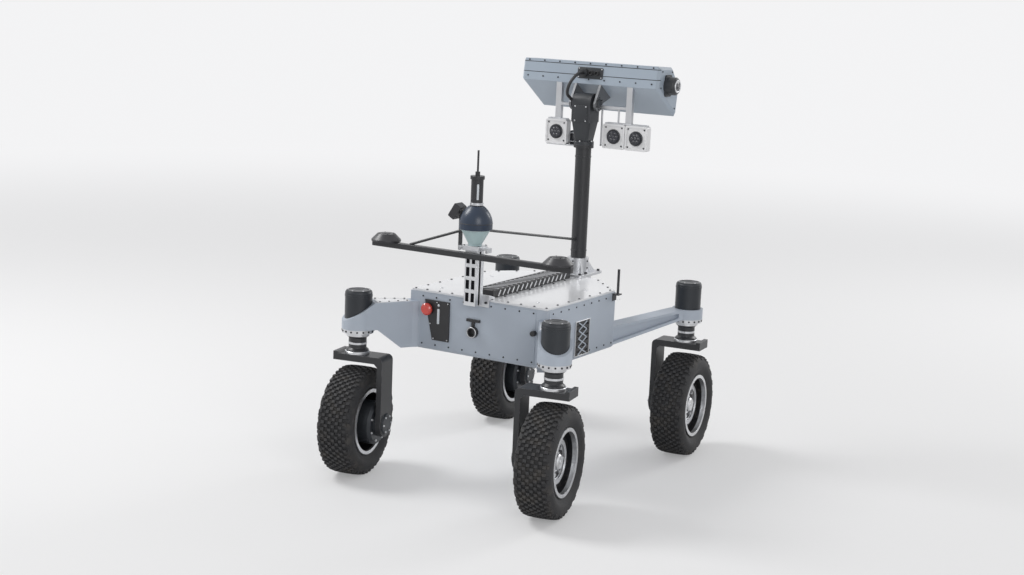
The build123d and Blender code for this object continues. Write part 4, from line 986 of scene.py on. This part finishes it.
places = [facing(face_mid + Vector((along, 0, 0)), face_out) for along in lens_x]
copies("lens_bezels", turned(bezel), places, head_black, "head")
copies("lens_rims", turned(lens_rim), places, head_black, "head")
copies("lens_domes", turned(lens_dome), places, glass, "head")
places = at(places, around(4, 0.0335, start=45))
copies("bezel_screws", cap_screw(4.8, 1.5), places, screw_black, "head")


# End and side cameras: short black cans, one on the right end of the head and one beside the left
# lamp. Each looks out through a glass in a turned bright ring.
dress(head_black, "end_camera")
dress(bracket_grey, "lamp_straps")
low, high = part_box("end_camera")
camera_ring = [(15, 0), (15, 1.6), (16, 2.4), (19.5, 2.4), (20.5, 1.4), (20.5, 0)]
camera_glass = [(0, 3), (7, 2.4), (12, 1), (15.2, -0.4)]
end_y, end_z = mast_y + 0.074, tilt_z + 0.068
side_x, side_y, side_z = -0.061, mast_y + 0.032, low.z + 0.022
side_scale = 0.8
end_spot = facing((high.x, end_y, end_z), (1, 0, 0))
side_spot = facing((side_x, side_y, side_z), (0, -1, 0)) @ Matrix.Scale(side_scale, 4)
places = [end_spot, side_spot]
copies("camera_rings", turned(camera_ring, 48), places, bright_metal, "head")
copies("camera_glasses", turned(camera_glass, 48), places, glass, "head")


# Lamps: square cases of white painted aluminium, hung under the head on thin straps and a light
# frame. Each has a round dark eye before and behind, in a black collar, and a screw in each corner.
lamp_white = painted("lamp_white", (0.8, 0.8, 0.81), (0.5, 0.5, 0.5), 0.36, 0.0012, wear=0.4)
dress(lamp_white, "lamps")
low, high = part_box("lamps")
lamp_z = (low.z + high.z) / 2
eye_collar = [(19.2, -1), (19.2, 3.6), (20, 4.4), (22.2, 4.4), (23.2, 3.4), (23.6, -1)]
cell = [(0, 1.8), (2, 1.5), (3.4, 0.8), (4.2, -0.3)]
cell_circle, cell_depth = 0.0112, 0.006
corner_half = 0.0285
lamp_x, lamp_faces = (-0.106, 0.104, 0.184), ((0.304, -1), (0.326, 1))
eyes = [facing((along, face, lamp_z), (0, way, 0)) for along in lamp_x for face, way in lamp_faces]
copies("eye_collars", turned(eye_collar, 48), eyes, head_black, "head")
cells = [moved(0, 0, cell_depth)] + around(6, cell_circle, cell_depth)
copies("eye_cells", turned(cell, 20), at(eyes, cells), glass, "head")

# Two uprights, a foot and a tie: how far along the head, how high, and the block
stay_y, stay_bar = 0.317, 0.005
tie_top, tie_thick = 1.1045, 0.003
lamp_top, lamp_low = 1.0573, 0.984
lamp_frame = bmesh.new()
for along, level, shape in (
    (0.0525, lamp_low, (stay_bar, stay_bar, tie_top - lamp_low, 0.0008)),
    (0.112, lamp_top, (stay_bar, stay_bar, tie_top - lamp_top, 0.0008)),
    (0.0575, lamp_low, (0.0145, stay_bar, stay_bar)),
    (0.08225, tie_top - tie_thick, (0.0645, 0.012, tie_thick, 0.0015)),
):
    join(lamp_frame, block(*shape), [moved(along, stay_y, level)])
piece("lamp_frame", lamp_frame, bracket_grey, "head")
places = at(eyes, corners(corner_half, corner_half))
copies("lamp_screws", cap_screw(5.5, 1.6), places, screw_black, "head")


# Head cable: a black sheathed lead from the gland on the head to the tilt yoke. It is clamped at
# both ends and rides with the head.
cable_black = moulded("cable_black", (0.024, 0.024, 0.026), 0.42)
dress(cable_black, "head_cable")


# Rear post: a slotted aluminium rail on an angle bracket bolted to the deck's rear edge, with rows
# of windows before and behind, its inner walls painted near black as shade, and a saddle on its top.
dress(bracket_grey, "post_bracket", "post_saddle")
post_metal = Finish("post_metal", metallic=0.9)
low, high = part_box("post")
post_wall = 0.0015
# Faces inside the rail's walls are painted near black, as the shade seen through the windows.
inner_shade = 1
for letter, near, far in (("Y", low.y, high.y), ("X", low.x, high.x)):
    spot = post_metal.along(letter)
    inner_shade = inner_shade * spot.within(near + post_wall, far - post_wall, post_wall, post_wall)
marks = post_metal.grain(0.006, 4, (1, 1, 0.08))
tone = post_metal.mix(post_metal.grain(0.05), (0.62, 0.63, 0.65), (0.74, 0.75, 0.77))
tone = post_metal.mix(inner_shade, tone, (0.02, 0.02, 0.024))
post_metal.lay(tone, marks * 0.16 + inner_shade * 0.3 + 0.28, marks, 0.00003, 0.0008)
dress(post_metal, "post")
stack_y = -0.322
bracket_x, saddle_x, saddle_half = 0.033, 0.0245, 0.02
saddle_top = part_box("post_saddle")[1].z
post_bolts = bmesh.new()
# Each pair of bolts on the bracket: how far along, how high and which way they stand
for along, level, way in ((-0.281, 0.574, (0, 0, 1)), (-0.302, 0.56, (0, -1, 0))):
    places = [facing((side * bracket_x, along, level), way) for side in (-1, 1)]
    join(post_bolts, cap_screw(8, 4, 12), places)
places = at([moved(0, stack_y, saddle_top)], corners(saddle_x, saddle_half))
join(post_bolts, cap_screw(5, 2), places)
piece("post_bolts", post_bolts, screw_black)


# Crossbar: a square black bar across the post, capped at both ends, with a round puck antenna near
# each end. Two thin rods brace the stack to the bar and to the mast.
dress(mast_black, "crossbar", "braces")
puck_black = moulded("puck_black", (0.03, 0.03, 0.034), 0.36, 0.0012)
dress(puck_black, "antenna_pucks")
low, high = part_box("crossbar")
bar_mid = (low + high) / 2
bar_cap = block(0.0164, 0.0164, 0.002, 0.0025, 0.0005)
places = [facing((side * high.x, bar_mid.y, bar_mid.z), (side, 0, 0)) for side in (-1, 1)]
copies("bar_caps", bar_cap, places, puck_black)
puck_x = 0.298
puck_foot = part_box("antenna_pucks")[0].z
puck_ring = [(43.6, 1), (44.6, 1.4), (44.6, 4.6), (43.6, 5)]
puck_cap = [(0, 24.6), (12, 24.3), (13.5, 23.6), (14, 22)]
places = [moved(side * puck_x, bar_mid.y, puck_foot) for side in (-1, 1)]
puck_trim = bmesh.new()
join(puck_trim, turned(puck_ring), places)
join(puck_trim, turned(puck_cap, 48), places)
piece("puck_trim", puck_trim, puck_black)
places = at(places, around(4, 0.0215, 0.023, 45))
copies("puck_screws", cap_screw(5, 1.2), places, screw_black)


# Cone and dome: a teal plastic cone carries a dark blue dome, with a bright ring where they meet
# and a fine seam round the dome.
cone_teal = moulded("cone_teal", (0.4, 0.52, 0.53), 0.38, 0.0012)
dress(cone_teal, "antenna_cone")
dome_dark = moulded("dome_dark", (0.02, 0.034, 0.062), 0.3, 0.0012)
dress(dome_dark, "antenna_dome")
cone_top = [moved(0, stack_y, 0.778)]
cone_ring = [(42, -1.6), (43.6, -1.2), (43.6, 1.2), (42, 1.6)]
copies("cone_ring", turned(cone_ring), cone_top, bright_metal)
dome_band = [(48.6, 17), (49.4, 17.4), (49.4, 19), (48.6, 19.4)]
copies("dome_band", turned(dome_band), cone_top, puck_black)


# Radio: a slim black can on the dome, with a whip on its cap, a pale strip window down its rear and
# a clamp band round its foot. A small black receiver leans beside it on a thin strip.
dress(puck_black, "radio", "side_receiver", "corner_antenna")
window_pale = moulded("window_pale", (0.62, 0.66, 0.7), 0.25, 0.0006, coat=0.5)
window_pale.slot = "lamp_case"
radio_foot = Vector((0, stack_y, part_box("radio")[0].z))
strip_way = Vector((0.85, -1, 0)).normalized()
strip_rise, strip_reach = 0.042, 0.0174
strip_spot = radio_foot + Vector((0, 0, strip_rise)) + strip_way * strip_reach
strip = block(0.0062, 0.046, 0.0016, 0.002, 0.0004)
copies("radio_window", strip, [facing(strip_spot, strip_way)], window_pale)
clamp = turned([(17.8, 2), (19.4, 2.4), (19.4, 9.6), (17.8, 10)], 48)
copies("radio_band", clamp, [Matrix.Translation(radio_foot)], bracket_grey)


# Rear face: a black control panel with a pale level window, a red stop button in a black collar, a
# charging socket with a bright lip, a latch and a small knob.
def rear_place(across, face, level):
    """A place on a face that looks to the rear."""
    return facing((across, face, level), (0, -1, 0))


dress(panel_black, "control_panel", "rear_fittings")
button_red = moulded("button_red", (0.62, 0.05, 0.035), 0.22, 0.001, coat=0.7)
dress(button_red, "stop_button")
panel_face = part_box("control_panel")[0].y
fittings_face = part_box("rear_fittings")[0].y
collar_face = -0.2972
window_x, window_z, window_lamp_z = -0.134, 0.495, 0.529
window = block(0.008, 0.046, 0.0012, 0.002, 0.0004)
window_lamp = turned([(0, 2.6), (2.4, 2.2), (3.8, 1), (4, 0)], 24)
level_window = bmesh.new()
join(level_window, window, [rear_place(window_x, panel_face, window_z)])
join(level_window, window_lamp, [rear_place(window_x, panel_face, window_lamp_z)])
piece("level_window", level_window, window_pale)
spots = ((-0.101, 0.537), (-0.101, 0.426), (-0.15, 0.426), (-0.14, 0.537), (-0.163, 0.47))
places = [rear_place(across, panel_face, level) for across, level in spots]
copies("panel_screws", cap_screw(4.2, 1.2), places, bright_metal)
lip = [(14, -1), (14, 0.6), (14.4, 1.2), (15.8, 1.2), (16.4, 0.6), (16.4, -1)]
places = [rear_place(-0.01, fittings_face, 0.465)]
copies("socket_lip", turned(lip, 48), places, bright_metal)
collar = [(12, 0), (20.5, 0), (20.5, 2), (19, 3.6), (12, 3.6)]
places = [rear_place(-0.171, collar_face, 0.514)]
copies("button_collar", turned(collar, 48), places, panel_black)


# Corner antenna: a short black rod moulded in one piece with its foot, at the chassis's right
# shoulder. Two small screws hold the foot.
low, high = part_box("corner_antenna")
foot_top, foot_x = low.z + 0.004, high.x - 0.004
places = [moved(foot_x, low.y + inset, foot_top) for inset in (0.004, 0.018)]
copies("foot_screws", cap_screw(4, 1.2), places, bright_metal)


low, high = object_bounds()
